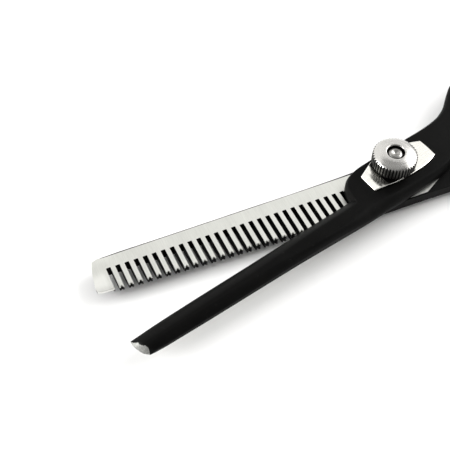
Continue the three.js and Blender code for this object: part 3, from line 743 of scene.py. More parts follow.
def nut_mesh(ridges=44, per=12, r_valley=4.32, r_ridge=4.58, z0=7.40, z_edge=10.14, z_rim=10.95):
    n = ridges * per
    th = np.arange(n) * 2 * math.pi / n
    rise = np.clip(0.5 + 0.78 * np.cos(th * ridges), 0, 1)
    rise = rise * rise * (3 - 2 * rise)
    rr = r_valley + (r_ridge - r_valley) * rise
    rows = []

    def circle(r, z):
        r = np.full(n, r) if np.isscalar(r) else r
        z = np.full(n, z) if np.isscalar(z) else z
        rows.append(np.stack([r * np.cos(th), r * np.sin(th), z], 1))

    circle(1.56, z0 + 0.12)
    circle(1.68, z0)
    circle(2.9, z0)
    circle(4.05, z0)
    circle(4.24, z0 + 0.02)
    circle(4.33, z0 + 0.09)
    circle(np.minimum(rr, 4.40), z0 + 0.17)
    circle(np.minimum(rr, 4.50), z0 + 0.24)
    circle(rr, z0 + 0.34)
    z_top = z_edge + 0.05 - (rr - 4.32) * 0.70
    for k in (0.25, 0.5, 0.75):
        circle(rr, z0 + 0.34 + (z_top - 0.05 - z0 - 0.34) * k)
    circle(rr, z_top - 0.05)
    circle(rr - 0.02, z_top)
    keys_r = [4.28, 4.08, 3.7, 3.1, 2.5, 2.05]
    keys_z = [z_edge + 0.08, z_edge + 0.22, z_edge + 0.435, z_rim - 0.16, z_rim - 0.05, z_rim]
    for r in (4.28, 4.19, 4.08, 3.97, 3.84, 3.65, 3.4, 3.1, 2.8, 2.55, 2.35, 2.2, 2.08):
        circle(r, float(pchip(keys_r[::-1], keys_z[::-1], r)[0]))
    circle(1.98, z_rim - 0.01)
    circle(1.90, z_rim - 0.05)
    circle(1.85, z_rim - 0.12)
    circle(1.83, z_rim - 0.24)
    circle(1.83, 10.2)
    circle(1.83, 9.72)
    circle(1.79, 9.62)
    circle(1.60, 9.60)
    circle(1.56, 9.56)
    circle(1.56, 8.6)
    verts = [tuple(p) for row in rows for p in row]
    faces = []
    m = len(rows)
    for k in range(m):
        a, b = k * n, ((k + 1) % m) * n
        faces += [[a + i, a + (i + 1) % n, b + (i + 1) % n, b + i] for i in range(n)]
    return verts, faces


v, f = nut_mesh()
nut = new_object("nut", v, f)

# leaf spring: a boat-shaped plate, both ends bent down on to the half
LEAF_T, LEAF_END, LEAF_MID = 0.40, 6.45, 6.67
side_a = curve_through([(7.40, 3.00), (5.0, 3.42), (2.8, 3.84), (0.3, 4.06), (-2.3, 4.10), (-5.0, 3.98), (-7.3, 3.56), (-9.12, 2.88)], 0.25)
end_a = curve_through([(-9.12, 2.88), (-9.22, 0.7), (-9.15, -1.62)], 0.25)
side_b = curve_through([(-9.15, -1.62), (-6.8, -2.50), (-4.4, -3.10), (-1.8, -3.48), (0.8, -3.50), (3.2, -3.05), (5.3, -2.25), (7.42, -1.35)], 0.25)
end_b = curve_through([(7.42, -1.35), (7.50, 0.6), (7.40, 3.00)], 0.25)
leaf_outline = np.vstack([side_a[:-1], end_a[:-1], side_b[:-1], end_b[:-1]])
corner = [0, len(side_a) - 1, len(side_a) + len(end_a) - 2, len(side_a) + len(end_a) + len(side_b) - 3]
radii = [0.11 if i in corner else 0.0 for i in range(len(leaf_outline))]
leaf_outline = np.array(rounded([tuple(p) for p in leaf_outline], radii, 4))
leaf_hole = np.array([(2.45 * math.cos(a), 2.45 * math.sin(a)) for a in np.linspace(0, 2 * math.pi, 72, endpoint=False)])


def leaf_lift(x):
    def raw(q):
        f = np.where(q > 4.3, (7.5 - q) / 3.2, np.where(q < -6.1, (q + 9.22) / 3.12, 1))
        return LEAF_END + (LEAF_MID - LEAF_END) * np.clip(f, 0, 1)
    lift = np.mean([raw(x + o) for o in np.linspace(-0.45, 0.45, 9)], axis=0)
    return lift - 0.035 * np.exp(-((x - 5.5) / 0.42) ** 2)      # the crease the press leaves at the fold


def leaf_top(p, d):
    return leaf_lift(p[:, 0]) + LEAF_T - 0.10 * (1 - dome(d / 0.12))


def leaf_bottom(p, d):
    return leaf_lift(p[:, 0]) + 0.05 * (1 - dome(d / 0.06))


leaf_loops = [(leaf_outline, True), (leaf_hole, True)]
no_seam = np.zeros((0, 2))
parts = [plan_sheet(leaf_loops, no_seam, [0.012, 0.035, 0.07, 0.12, 0.3], 0.45, leaf_top),
         plan_sheet(leaf_loops, no_seam, [0.02, 0.06, 0.3], 0.45, leaf_bottom)]
for pts, closed in leaf_loops:
    zero = np.zeros(len(pts))
    parts.append(walls(pts, closed, leaf_bottom(pts, zero), leaf_top(pts, zero)))
v, f = joined(*parts)
leaf = new_object("leaf", v, f, merge=1e-3)


# ---------------------------------------------------------------- soft and small pieces
def ring_insert(centre, steps=200):
    half = [(-2.09, 0.0), (-2.06, 0.75), (-1.87, 1.55), (-1.52, 2.20), (-1.12, 2.62), (-0.98, 2.86), (-1.10, 3.08),
            (-1.42, 3.16), (-1.85, 3.05), (-2.35, 2.72), (-2.85, 2.20), (-3.18, 1.55), (-3.33, 0.85), (-3.37, 0.12), (-3.45, 0.04), (-3.45, 0.0)]
    top = curve_through(half[:13], 0.28)
    prof = [tuple(p) for p in top] + [(-3.365, 0.14), (-3.42, 0.05)]
    full = prof + [(x, -z) for x, z in prof[::-1]][:-1]
    full = full[:]
    secs = []
    for i in range(steps):
        t = 2 * math.pi * i / steps
        base = ring_point(centre, t, 0)
        n = ring_point(centre, t, 1) - base
        secs.append([(base[0] + n[0] * o, base[1] + n[1] * o, RING_Z + z) for o, z in full])
    return sweep(secs, loop=True)


v, f = ring_insert(COMB_RING)
insert_a = new_object("insert_a", v, f)
v, f = ring_insert(STRAIGHT_RING)
insert_b = new_object("insert_b", v, f)

bump_profile = [(0, -0.90), (0.9, -0.88), (1.5, -0.80), (1.9, -0.64), (2.18, -0.40), (2.32, -0.10), (2.38, 0.3), (2.40, 0.8),
                (2.40, 1.25), (2.34, 1.33), (2.26, 1.40), (2.26, 1.55), (2.34, 1.62), (2.40, 1.70), (2.40, 2.45),
                (2.36, 2.62), (2.26, 2.74), (2.10, 2.77), (1.15, 2.77), (1.15, 4.4), (1.0, 4.6), (0, 4.6)]
v, f = lathe(bump_profile, 72)
v = [(x - 65.0, z, y + RING_Z) for x, y, z in v]
bumper = new_object("bumper_piece", v, f)


def rest_mesh(rows=84, sides=40):
    key = [on_seat(SEAT_D + 0.08), on_seat(SEAT_D + 2.6), on_seat(SEAT_D + 6.4, (-0.2, -0.9)),
           on_seat(SEAT_D + 10.6, (-0.6, -3.2)), on_seat(SEAT_D + 14.6, (-1.4, -6.0)), on_seat(SEAT_D + 17.6, (-3.2, -7.2))]
    line = curve_through(key, 0.05)
    s = np.r_[0, np.cumsum(np.linalg.norm(np.diff(line, axis=0), axis=1))]
    total = s[-1]
    # radius by distance along the horn: collar, groove, neck, swelling body, round end
    key_d = [0, 0.10, 0.22, 1.0, 1.16, 1.26, 1.42, 1.60, 1.80, 6.0, 11.5, 15.8, total - 1.9]
    key_r = [2.36, 2.48, 2.53, 2.53, 2.46, 2.30, 2.02, 1.82, 1.74, 1.70, 1.98, 2.14, 2.06]
    us = np.unique(np.r_[np.linspace(0, 2.4, 26), np.linspace(2.4, total - 1.9, rows - 36),
                         total - 1.9 * (1 - np.sin(np.linspace(0, math.pi / 2, 12)))])
    secs = []
    for u in us:
        p = np.array([np.interp(u, s, line[:, k]) for k in range(3)])
        q0 = np.array([np.interp(max(0, u - 0.3), s, line[:, k]) for k in range(3)])
        q1 = np.array([np.interp(min(total, u + 0.3), s, line[:, k]) for k in range(3)])
        d = (q1 - q0) / np.linalg.norm(q1 - q0)
        side = np.array([-d[1], d[0], 0])
        side /= np.linalg.norm(side)
        if u < total - 1.9:
            r = float(pchip(key_d, key_r, u)[0])
        else:
            k = (u - (total - 1.9)) / 1.9
            r = 2.06 * math.sqrt(max(1e-4, 1 - k**2.2))
        flat = 1 - 0.10 * float(smooth(6, 12, u))
        secs.append([tuple(p + side * r * math.cos(a) + np.array([0, 0, 1]) * r * flat * math.sin(a))
                     for a in np.linspace(0, 2 * math.pi, sides, endpoint=False)])
    v, f = sweep(secs)
    return v, f


v, f = rest_mesh()
rest = new_object("rest", v, f)
cut(rest, [tube_cutter(1.05, on_seat(-0.75), on_seat(SEAT_D + 1.0), 32)], "UNION")

# ---------------------------------------------------------------- finish the meshes
PIECES = [
    # object, name, body, CAD node, slot, turned with the straight half, sharp angle, weighted normals
    (comb, "comb_blade_half_fine", "comb_half", "comb_blade_half", "blade_steel", False, 32, True),
    (screw, "pivot_screw_fine", "comb_half", "pivot_screw", "polished_steel", False, 40, True),
    (insert_a, "thumb_ring_insert_fine", "comb_half", "thumb_ring_insert", "black_rubber", False, 50, False),
    (bumper, "bumper_fine", "comb_half", "bumper", "black_rubber", False, 50, False),
    (straight, "straight_blade_half_fine", "straight_half", "straight_blade_half", "black_coating", True, 32, True),
    (bush, "pivot_bushing_fine", "straight_half", "pivot_bushing", "white_nylon", True, 50, False),
    (leaf, "tension_leaf_spring_fine", "straight_half", "tension_leaf_spring", "polished_steel", True, 50, True),
    (insert_b, "finger_ring_insert_fine", "straight_half", "finger_ring_insert", "black_rubber", True, 50, False),
    (rest, "finger_rest_fine", "straight_half", "finger_rest", "black_coating", True, 40, True),
    (washer, "nut_washer_fine", "nut", "nut_washer", "black_nylon", False, 50, False),
    (nut, "tension_nut_fine", "nut", "tension_nut", "nut_steel", False, 42, True),
]
fine = {}
for ob, name, body, node, slot, turned, angle, weighted in PIECES:
    me = ob.data
    m = Matrix.Scale(SCALE, 4)
    if turned:
        m = Matrix.Rotation(OPEN, 4, "Z") @ m
    me.transform(m)
    me.polygons.foreach_set("use_smooth", [True] * len(me.polygons))
    me.set_sharp_from_angle(angle=math.radians(angle))
    me.update()
    ob.name = name
    me.name = name
    if weighted:
        w = ob.modifiers.new("weighted normals", "WEIGHTED_NORMAL")
        w.keep_sharp = True
        w.weight = 60
    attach(ob, body)
    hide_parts(node)
    fine[name] = ob

# ---------------------------------------------------------------- materials


class Nodes:
    """Short-hand for building a node tree."""

    def __init__(self, name, turned=False):
        self.mat = bpy.data.materials.new(name)
        self.mat.use_nodes = True
        self.tree = self.mat.node_tree
        self.tree.nodes.clear()
        self.out = self.tree.nodes.new("ShaderNodeOutputMaterial")
        tc = self.tree.nodes.new("ShaderNodeTexCoord")
        mp = self.tree.nodes.new("ShaderNodeMapping")
        mp.inputs["Scale"].default_value = (1000, 1000, 1000)
        mp.inputs["Rotation"].default_value = (0, 0, -OPEN if turned else 0)
        self.link(tc.outputs["Object"], mp.inputs["Vector"])
        self.mm = mp.outputs["Vector"]                   # the piece's own millimetres
        sep = self.tree.nodes.new("ShaderNodeSeparateXYZ")
        self.link(self.mm, sep.inputs[0])
        self.x, self.y, self.z = sep.outputs
        geo = self.tree.nodes.new("ShaderNodeNewGeometry")
        sn = self.tree.nodes.new("ShaderNodeSeparateXYZ")
        self.link(geo.outputs["True Normal"], sn.inputs[0])
        self.nz = sn.outputs[2]

    def link(self, a, b):
        self.tree.links.new(a, b)

    def put(self, socket, v):
        if hasattr(v, "is_linked") or hasattr(v, "links"):
            self.link(v, socket)
        elif isinstance(v, (tuple, list)) and len(v) == 3 and socket.type == "RGBA":
            socket.default_value = (*v, 1)
        else:
            socket.default_value = v

    def math(self, op, a, b=0.0, c=None, clamp=False):
        n = self.tree.nodes.new("ShaderNodeMath")
        n.operation = op
        n.use_clamp = clamp
        self.put(n.inputs[0], a)
        self.put(n.inputs[1], b)
        if c is not None:
            self.put(n.inputs[2], c)
        return n.outputs[0]

    def step(self, v, a, b):
        """0 below a, 1 above b, smooth between."""
        n = self.tree.nodes.new("ShaderNodeMapRange")
        n.interpolation_type = "SMOOTHSTEP"
        self.put(n.inputs["Value"], v)
        lo, hi, t0, t1 = (a, b, 0.0, 1.0) if a < b else (b, a, 1.0, 0.0)
        n.inputs["From Min"].default_value = lo
        n.inputs["From Max"].default_value = hi
        n.inputs["To Min"].default_value = t0
        n.inputs["To Max"].default_value = t1
        return n.outputs["Result"]

    def range(self, v, a, b, c, d):
        n = self.tree.nodes.new("ShaderNodeMapRange")
        self.put(n.inputs["Value"], v)
        for key, q in zip(("From Min", "From Max", "To Min", "To Max"), (a, b, c, d)):
            n.inputs[key].default_value = q
        return n.outputs["Result"]

    def noise(self, scale, detail=3.0, rough=0.55, stretch=(1, 1, 1), shift=(0, 0, 0), vector=None, distortion=0.0):
        m = self.tree.nodes.new("ShaderNodeMapping")
        m.inputs["Scale"].default_value = stretch
        m.inputs["Location"].default_value = shift
        self.link(vector or self.mm, m.inputs["Vector"])
        n = self.tree.nodes.new("ShaderNodeTexNoise")
        n.inputs["Scale"].default_value = scale
        n.inputs["Detail"].default_value = detail
        n.inputs["Roughness"].default_value = rough
        n.inputs["Distortion"].default_value = distortion
        self.link(m.outputs[0], n.inputs["Vector"])
        return n.outputs["Fac"]

    def combine(self, x, y, z):
        n = self.tree.nodes.new("ShaderNodeCombineXYZ")
        for s, v in zip(n.inputs, (x, y, z)):
            self.put(s, v)
        return n.outputs[0]

    def mix(self, fac, a, b):
        n = self.tree.nodes.new("ShaderNodeMix")
        n.data_type = "RGBA"
        self.put(n.inputs[0], fac)
        self.put(n.inputs[6], a)
        self.put(n.inputs[7], b)
        return n.outputs[2]

    def mixf(self, fac, a, b):
        n = self.tree.nodes.new("ShaderNodeMix")
        self.put(n.inputs[0], fac)
        self.put(n.inputs[2], a)
        self.put(n.inputs[3], b)
        return n.outputs[0]

    def ramp(self, fac, stops):
        n = self.tree.nodes.new("ShaderNodeValToRGB")
        el = n.color_ramp.elements
        while len(el) < len(stops):
            el.new(0.5)
        for e, (p, c) in zip(el, stops):
            e.position = p
            e.color = (*c, 1)
        self.link(fac, n.inputs[0])
        return n.outputs[0]

    def bump(self, height, distance, strength=1.0, normal=None):
        n = self.tree.nodes.new("ShaderNodeBump")
        n.inputs["Distance"].default_value = distance
        n.inputs["Strength"].default_value = strength
        self.put(n.inputs["Height"], height)
        if normal is not None:
            self.link(normal, n.inputs["Normal"])
        return n.outputs[0]

    def shader(self, color, rough, normal=None, metallic=0.0, **constants):
        n = self.tree.nodes.new("ShaderNodeBsdfPrincipled")
        self.put(n.inputs["Base Color"], color)
        self.put(n.inputs["Roughness"], rough)
        self.put(n.inputs["Metallic"], metallic)
        if normal is not None:
            self.link(normal, n.inputs["Normal"])
        for k, v in constants.items():
            self.put(n.inputs[k.replace("_", " ")], v)
        return n.outputs[0]

    def finish(self, shader):
        self.link(shader, self.out.inputs["Surface"])
        return self.mat


def coating_parts(n):
    """Satin black coating: near-black with a fine orange-peel grain and faint handling marks."""
    fine_grain = n.noise(9.0, 4.0, 0.65)
    broad = n.noise(0.35, 3.0, 0.5, shift=(3, 1, 7))
    streak = n.noise(0.7, 3.0, 0.5, stretch=(0.12, 1, 1), shift=(5, 0, 2))
    color = n.ramp(n.math("MULTIPLY_ADD", broad, 0.6, n.math("MULTIPLY", fine_grain, 0.4)),
                   [(0.30, (0.0016, 0.0016, 0.0016)), (0.70, (0.0034, 0.0034, 0.0032))])
    rough = n.math("ADD", n.range(streak, 0.3, 0.7, 0.36, 0.46), n.range(fine_grain, 0.3, 0.7, -0.03, 0.03))
    height = n.math("MULTIPLY_ADD", fine_grain, 0.7, n.math("MULTIPLY", n.noise(2.2, 2.0), 0.5))
    return color, rough, height


def steel_parts(n, across, tint=(0.67, 0.675, 0.640), rough=(0.30, 0.42), line=9.0):
    """Ground steel: fine lines across the piece, speckle and a slow change of tone."""
    stretch = (1, 0.035, 1) if across == "y" else (0.035, 1, 1)
    lines = n.noise(line, 4.0, 0.6, stretch=stretch)
    lines2 = n.noise(line * 0.3, 3.0, 0.6, stretch=stretch, shift=(4, 4, 0))
    speck = n.noise(5.0, 4.0, 0.7, shift=(1, 2, 3))
    broad = n.noise(0.22, 2.0, 0.5, shift=(2, 8, 1))
    k = n.math("ADD", n.math("MULTIPLY", lines, 0.45), n.math("ADD", n.math("MULTIPLY", speck, 0.3), n.math("MULTIPLY", broad, 0.25)))
    lo = tuple(c * 0.86 for c in tint)
    hi = tuple(min(1, c * 1.08) for c in tint)
    color = n.ramp(k, [(0.34, lo), (0.66, hi)])
    r = n.math("ADD", n.range(lines2, 0.3, 0.7, rough[0], rough[1]), n.range(speck, 0.3, 0.7, -0.03, 0.04))
    height = n.math("MULTIPLY_ADD", lines, 0.7, n.math("MULTIPLY", speck, 0.35))
    return color, r, height


def coated_half(name, turned, bare_mask, wear):
    """Black coating with bare ground steel where bare_mask says; regions of the bare steel are tinted as painted shade
    and painted highlight.
    """
    n = Nodes(name, turned)
    bc, br, bh = coating_parts(n)
    sc, sr, sh = steel_parts(n, "y")
    mask = bare_mask(n)
    coat = n.shader(n.mix(wear(n), bc, (0.05, 0.05, 0.048)), br, n.bump(bh, 0.00002, 0.5), 0.0, Specular_IOR_Level=0.05)
    if turned:
        # painted shade: the bare facet at the straight blade's tip gets a darker steel, with a random change of tone,
        # for the dimmer light it catches; it is also made rougher
        end = n.step(n.x, 62.3, 62.6)
        sc = n.mix(end, sc, n.mix(n.step(n.noise(3.0, 3.0), 0.35, 0.65), (0.22, 0.222, 0.212), (0.30, 0.302, 0.288)))
        sr = n.mixf(end, sr, 0.52)
    else:
        # painted highlight: the bare steel at the corner of the comb's end block is made lighter, for the light it
        # catches there
        corner = n.math("MULTIPLY", n.step(n.x, 62.0, 63.2), n.step(n.y, -3.6, -1.2))
        sc = n.mix(n.math("MULTIPLY", corner, 0.6), sc, (0.90, 0.90, 0.87))
        # painted shade: bare steel behind the pivot, where it shows between the two halves, is made darker, for the
        # shade and dark reflection of the straight half over it
        sc = n.mix(n.step(n.x, -0.5, -1.5), sc, (0.47, 0.47, 0.45))
    steel = n.shader(sc, sr, n.bump(sh, 0.000015, 0.35), 1.0)
    mixer = n.tree.nodes.new("ShaderNodeMixShader")
    n.put(mixer.inputs[0], mask)
    n.link(coat, mixer.inputs[1])
    n.link(steel, mixer.inputs[2])
    return n.finish(mixer.outputs[0])


def comb_mask(n):
    up = n.step(n.nz, 0.955, 0.985)
    high = n.step(n.z, 3.50, 3.56)
    bx, by = n.math("ADD", n.x, 2.5), n.math("ADD", n.y, 1.5)
    r = n.math("SQRT", n.math("ADD", n.math("MULTIPLY", bx, bx), n.math("MULTIPLY", by, by)))
    r = n.math("ADD", r, n.range(n.noise(1.2), 0.3, 0.7, -0.12, 0.12))
    edge_1 = n.step(n.math("ADD", n.math("MULTIPLY", n.x, 0.042), n.y), 7.00, 6.90)
    edge_2 = n.step(n.math("SUBTRACT", n.y, n.math("MULTIPLY", n.x, 0.482)), 9.42, 9.32)
    pad = n.math("MULTIPLY", n.step(r, 9.10, 8.96), n.math("MULTIPLY", edge_1, edge_2))
    near = n.math("MAXIMUM", pad, n.step(n.x, 0.8, 1.2))
    # the coating just laps over the spine's arris
    spine = n.math("ADD", n.math("MULTIPLY_ADD", n.x, 0.0437, 3.405), n.y)
    spine = n.math("MAXIMUM", n.step(spine, 0.17, 0.23), n.step(n.x, 61.5, 62.5))
    flat = n.math("MULTIPLY", n.math("MULTIPLY", n.math("MULTIPLY", up, high), near), spine)
    # ground tooth tips: the walls that face +Y at the tip line
    tip_y = n.math("SUBTRACT", n.y, n.math("MULTIPLY_ADD", n.x, -0.083, 1.62 + 0.083 * 62.0))
    tips = n.math("MULTIPLY", n.step(tip_y, -0.55, -0.45), n.math("MULTIPLY", n.step(n.x, 12.0, 12.3), n.step(n.z, 3.22, 3.30)))
    end = n.math("MULTIPLY", n.math("MULTIPLY", n.step(n.x, 62.0, 62.3), n.step(n.y, -5.2, -4.8)), n.step(n.z, 2.95, 3.10))
    return n.math("MAXIMUM", flat, n.math("MAXIMUM", tips, end), clamp=True)


def straight_mask(n):
    down = n.step(n.nz, -0.90, -0.97)
    low = n.step(n.z, 3.74, 3.68)
    r = n.math("SQRT", n.math("ADD", n.math("MULTIPLY", n.x, n.x), n.math("MULTIPLY", n.y, n.y)))
    near = n.math("MAXIMUM", n.step(r, 9.75, 9.6), n.step(n.x, -0.2, 0.2))
    flat = n.math("MULTIPLY", n.math("MULTIPLY", down, low), near)
    # bare facet at the tip, with a wavy edge to the coating
    wave = n.math("ADD", n.math("MULTIPLY", n.math("SINE", n.math("MULTIPLY", n.y, 3.6)), 0.10), n.range(n.noise(2.2), 0.3, 0.7, -0.10, 0.10))
    border = n.math("MAXIMUM", n.math("MULTIPLY_ADD", n.y, -0.49, 64.70 + 0.49 * 2.66), 63.08)
    tip = n.step(n.math("SUBTRACT", n.math("ADD", n.x, wave), border), -0.03, 0.05)
    return n.math("MAXIMUM", flat, tip, clamp=True)


def comb_wear(n):
    return n.math("MULTIPLY", n.step(n.noise(1.4, 4.0, 0.7), 0.62, 0.78), 0.25)


fine["comb_blade_half_fine"].data.materials.append(coated_half("ground_steel_and_coating", False, comb_mask, comb_wear))
fine["straight_blade_half_fine"].data.materials.append(coated_half("satin_black_coating_blade", True, straight_mask, comb_wear))

n = Nodes("satin_black_coating_rest", True)
c, r, h = coating_parts(n)
fine["finger_rest_fine"].data.materials.append(n.finish(n.shader(c, r, n.bump(h, 0.00002, 0.5), 0.0, Specular_IOR_Level=0.25)))

n = Nodes("polished_leaf_steel", True)
c, r, h = steel_parts(n, "x", (0.93, 0.918, 0.865), (0.13, 0.19), 6.0)
rad = n.math("SQRT", n.math("ADD", n.math("MULTIPLY", n.x, n.x), n.math("MULTIPLY", n.y, n.y)))
rad = n.math("ADD", rad, n.range(n.noise(0.9), 0.3, 0.7, -0.10, 0.10))
# painted shade and reflection: a dark, duller patch on the flat middle, close round the nut, stands in for the nut's
# shadow and its dark reflection in the leaf
nut_shade_patch = n.math("MULTIPLY", n.step(rad, 6.0, 5.6), n.math("MULTIPLY", n.step(n.x, 4.55, 4.15), n.step(n.x, -3.1, -2.3)))
nut_shade_patch = n.math("MULTIPLY", nut_shade_patch, n.step(n.nz, 0.90, 0.98))
c = n.mix(nut_shade_patch, c, (0.035, 0.034, 0.032))
r = n.mixf(nut_shade_patch, r, 0.34)
fine["tension_leaf_spring_fine"].data.materials.append(n.finish(n.shader(c, r, n.bump(h, 0.000008, 0.25), 1.0)))


def turned_steel(name, tint, rough, painted_knurl_shade=False):
    """Turned steel: fine circular lines about the pivot axis; when asked, the knurled side, its valleys and the bore
    are painted dark as painted shade.
    """
    n = Nodes(name)
    rad = n.math("SQRT", n.math("ADD", n.math("MULTIPLY", n.x, n.x), n.math("MULTIPLY", n.y, n.y)))
    ang = n.math("ARCTAN2", n.y, n.x)
    polar = n.combine(rad, n.math("MULTIPLY", ang, 0.25), n.z)
    lines = n.noise(14.0, 4.0, 0.65, vector=polar)
    slow = n.noise(2.6, 3.0, 0.55, vector=polar, shift=(3, 5, 1))
    speck = n.noise(6.0, 3.0, 0.65, shift=(9, 1, 4))
    k = n.math("ADD", n.math("MULTIPLY", lines, 0.5), n.math("ADD", n.math("MULTIPLY", speck, 0.25), n.math("MULTIPLY", slow, 0.25)))
    color = n.ramp(k, [(0.34, tuple(v * 0.84 for v in tint)), (0.66, tint)])
    r = n.math("ADD", n.range(slow, 0.3, 0.7, rough[0], rough[1]), n.range(speck, 0.3, 0.7, -0.03, 0.03))
    if painted_knurl_shade:
        # painted shade: the knurled side is made near-black steel and its valleys darker still, for the shade that
        # falls on these faces
        side = n.math("MULTIPLY", n.step(n.nz, 0.52, 0.34), n.math("MULTIPLY", n.step(n.z, 10.24, 10.20), n.step(rad, 4.10, 4.22)))
        valley_shade = n.math("MULTIPLY", side, n.step(rad, 4.52, 4.34))
        color = n.mix(side, color, n.mix(valley_shade, (0.075, 0.074, 0.070), (0.012, 0.012, 0.011)))
        # painted shade: the bore above the screw is made near-black, for the shade down in the recess
        bore_shade = n.math("MULTIPLY", n.step(rad, 1.86, 1.82), n.step(n.z, 10.86, 10.70))
        color = n.mix(bore_shade, color, (0.012, 0.012, 0.012))
        r = n.mixf(side, r, 0.42)
    height = n.math("MULTIPLY_ADD", lines, 0.6, n.math("MULTIPLY", speck, 0.3))
    return n.finish(n.shader(color, r, n.bump(height, 0.000012, 0.3), 1.0))


fine["tension_nut_fine"].data.materials.append(turned_steel("satin_nut_steel", (0.62, 0.61, 0.59), (0.20, 0.30), True))
# painted shade: the screw gets the nut's turned steel in a darker tint, for the shade its end sits in down in the nut's
# recess
fine["pivot_screw_fine"].data.materials.append(turned_steel("screw_steel", (0.38, 0.373, 0.358), (0.24, 0.36)))


def moulded(name, lo, hi, rough, grain, distance, turned=False, **constants):
    """Moulded plastic or rubber with a fine matt grain and slight tone change."""
    n = Nodes(name, turned)
    a = n.noise(grain, 4.0, 0.65)
    b = n.noise(grain * 0.12, 3.0, 0.5, shift=(2, 6, 3))
    color = n.ramp(n.math("MULTIPLY_ADD", b, 0.6, n.math("MULTIPLY", a, 0.4)), [(0.32, lo), (0.68, hi)])
    r = n.math("ADD", n.range(a, 0.3, 0.7, rough[0], rough[1]), n.range(b, 0.3, 0.7, -0.04, 0.04))
    return n.finish(n.shader(color, r, n.bump(a, distance, 0.6), 0.0, **constants))


rubber_a = moulded("black_rubber_a", (0.006, 0.006, 0.006), (0.013, 0.013, 0.0125), (0.62, 0.78), 7.0, 0.00004, False, Specular_IOR_Level=0.32)
rubber_b = moulded("black_rubber_b", (0.006, 0.006, 0.006), (0.013, 0.013, 0.0125), (0.62, 0.78), 7.0, 0.00004, True, Specular_IOR_Level=0.32)
fine["thumb_ring_insert_fine"].data.materials.append(rubber_a)
fine["bumper_fine"].data.materials.append(rubber_a)
fine["finger_ring_insert_fine"].data.materials.append(rubber_b)
fine["pivot_bushing_fine"].data.materials.append(moulded("white_nylon", (0.78, 0.76, 0.70), (0.86, 0.84, 0.78), (0.40, 0.52), 4.0, 0.00002, True))
fine["nut_washer_fine"].data.materials.append(moulded("black_nylon", (0.008, 0.008, 0.008), (0.016, 0.016, 0.016), (0.42, 0.55), 5.0, 0.00002, False, Specular_IOR_Level=0.35))

# ---------------------------------------------------------------- floor, light, camera
bm = bmesh.new()
bmesh.ops.create_grid(bm, x_segments=2, y_segments=2, size=12.0)
me = bpy.data.meshes.new("floor")
bm.to_mesh(me)
bm.free()
floor = bpy.data.objects.new("floor", me)
LINKS.link(floor)
floor.location = (0, 0, -0.00002)
fm = Nodes("floor_white")
fm_c = fm.ramp(fm.noise(0.02, 2.0), [(0.3, (0.86, 0.86, 0.86)), (0.7, (0.88, 0.88, 0.88))])
me.materials.append(fm.finish(fm.shader(fm_c, 0.9, None, 0.0, Specular_IOR_Level=0.0)))
floor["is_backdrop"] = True

world = bpy.data.worlds.new("studio")
bpy.context.scene.world = world
world.use_nodes = True
wt = world.node_tree
wt.nodes.clear()
wo = wt.nodes.new("ShaderNodeOutputWorld")
bg = wt.nodes.new("ShaderNodeBackground")
wt.links.new(bg.outputs[0], wo.inputs[0])
geo = wt.nodes.new("ShaderNodeTexCoord")


def wmath(op, a, b):
    n = wt.nodes.new("ShaderNodeMath")
    n.operation = op
    for s, v in zip(n.inputs, (a, b)):
        if isinstance(v, (int, float)):
            s.default_value = v
        else:
            wt.links.new(v, s)
    return n.outputs[0]


sep = wt.nodes.new("ShaderNodeSeparateXYZ")
wt.links.new(geo.outputs["Generated"], sep.inputs[0])


def wramp(v, a, b, lo, hi):
    """lo below a, hi above b, smooth between."""
    n = wt.nodes.new("ShaderNodeMapRange")
    n.interpolation_type = "SMOOTHSTEP"
    wt.links.new(v, n.inputs["Value"])
    for key, q in zip(("From Min", "From Max", "To Min", "To Max"), (a, b, lo, hi)):
        n.inputs[key].default_value = q
    return n.outputs["Result"]


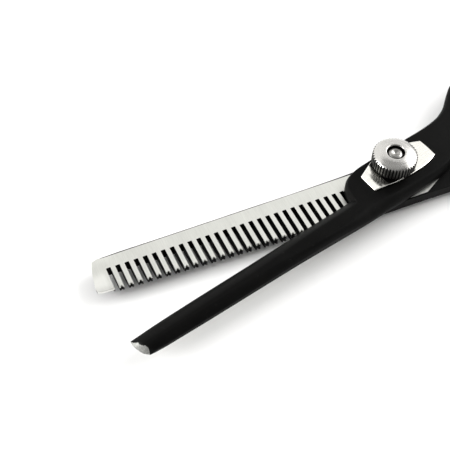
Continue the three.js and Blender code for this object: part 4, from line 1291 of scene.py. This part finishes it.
# pale walls all round, a bright back wall, a bright panel to each side, a dim ceiling over the camera
horizon = wramp(sep.outputs["Z"], 0.05, 0.18, 0.95, 0.0)
back = wmath("MULTIPLY", wramp(sep.outputs["Z"], 0.84, 0.95, 1.0, 0.0), wramp(sep.outputs["Y"], -0.42, -0.12, 1.16, 0.0))
back = wmath("MULTIPLY", back, wramp(sep.outputs["X"], -0.55, -0.15, 0.80, 1.0))
band = wmath("MULTIPLY", wramp(sep.outputs["Z"], 0.10, 0.22, 0.0, 1.0), wramp(sep.outputs["Z"], 0.78, 0.88, 1.0, 0.0))
band = wmath("MULTIPLY", band, wramp(sep.outputs["Y"], -0.46, -0.30, 0.0, 1.0))
side_a = wmath("MULTIPLY", wmath("MULTIPLY", band, wramp(sep.outputs["Y"], 0.58, 0.74, 1.0, 0.0)), wramp(sep.outputs["X"], -0.64, -0.50, 3.2, 0.0))
side_b = wmath("MULTIPLY", wmath("MULTIPLY", band, wramp(sep.outputs["Y"], 0.05, 0.25, 1.0, 0.0)), wramp(sep.outputs["X"], 0.74, 0.84, 0.0, 5.0))
ceiling = wramp(sep.outputs["Z"], 0.72, 0.92, 0.0, 0.30)
level = wmath("MAXIMUM", wmath("MAXIMUM", horizon, back), wmath("MAXIMUM", wmath("MAXIMUM", side_a, side_b), ceiling))
level = wmath("ADD", level, 0.14)
wt.links.new(level, bg.inputs["Strength"])
bg.inputs["Color"].default_value = (1.0, 0.995, 0.98, 1)


def soft_light(name, position, target, size, energy, color=(1, 1, 1)):
    data = bpy.data.lights.new(name, "AREA")
    data.shape = "RECTANGLE"
    data.size, data.size_y = size
    data.energy = energy
    data.color = color
    ob = bpy.data.objects.new(name, data)
    LINKS.link(ob)
    ob.location = position
    ob.rotation_euler = (Vector(target) - Vector(position)).to_track_quat("-Z", "Y").to_euler()
    return ob


soft_light("main_softbox", (0.86, -0.22, 0.50), (0.0, 0.0, 0.0), (0.60, 0.50), 6.5)
soft_light("side_softbox", (-0.80, -0.10, 0.64), (0.0, 0.0, 0.0), (0.60, 0.50), 3.5)

cam_data = bpy.data.cameras.new("camera")
cam = bpy.data.objects.new("camera", cam_data)
LINKS.link(cam)
cam_data.lens = 65.12
cam_data.sensor_width = 36
cam_data.clip_start = 0.005
cam_data.clip_end = 10
fwd = Vector((-0.2486, -0.5295, -0.8110)).normalized()
right = Vector((-0.9052, 0.4250, 0.0)).normalized()
up = right.cross(fwd).normalized()
rot = Matrix((right, up, -fwd)).transposed().to_4x4()
cam.matrix_world = Matrix.Translation(Vector((0.07729, 0.08326, 0.13564))) @ rot
bpy.context.scene.camera = cam
bpy.context.scene.view_settings.view_transform = "Standard"

view_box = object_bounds()


def plain(b):
    try:
        return [[float(q) for q in c] for c in b]
    except TypeError:
        return [float(q) for q in b]


{"cad": plain(cad_box), "visual": plain(view_box)}
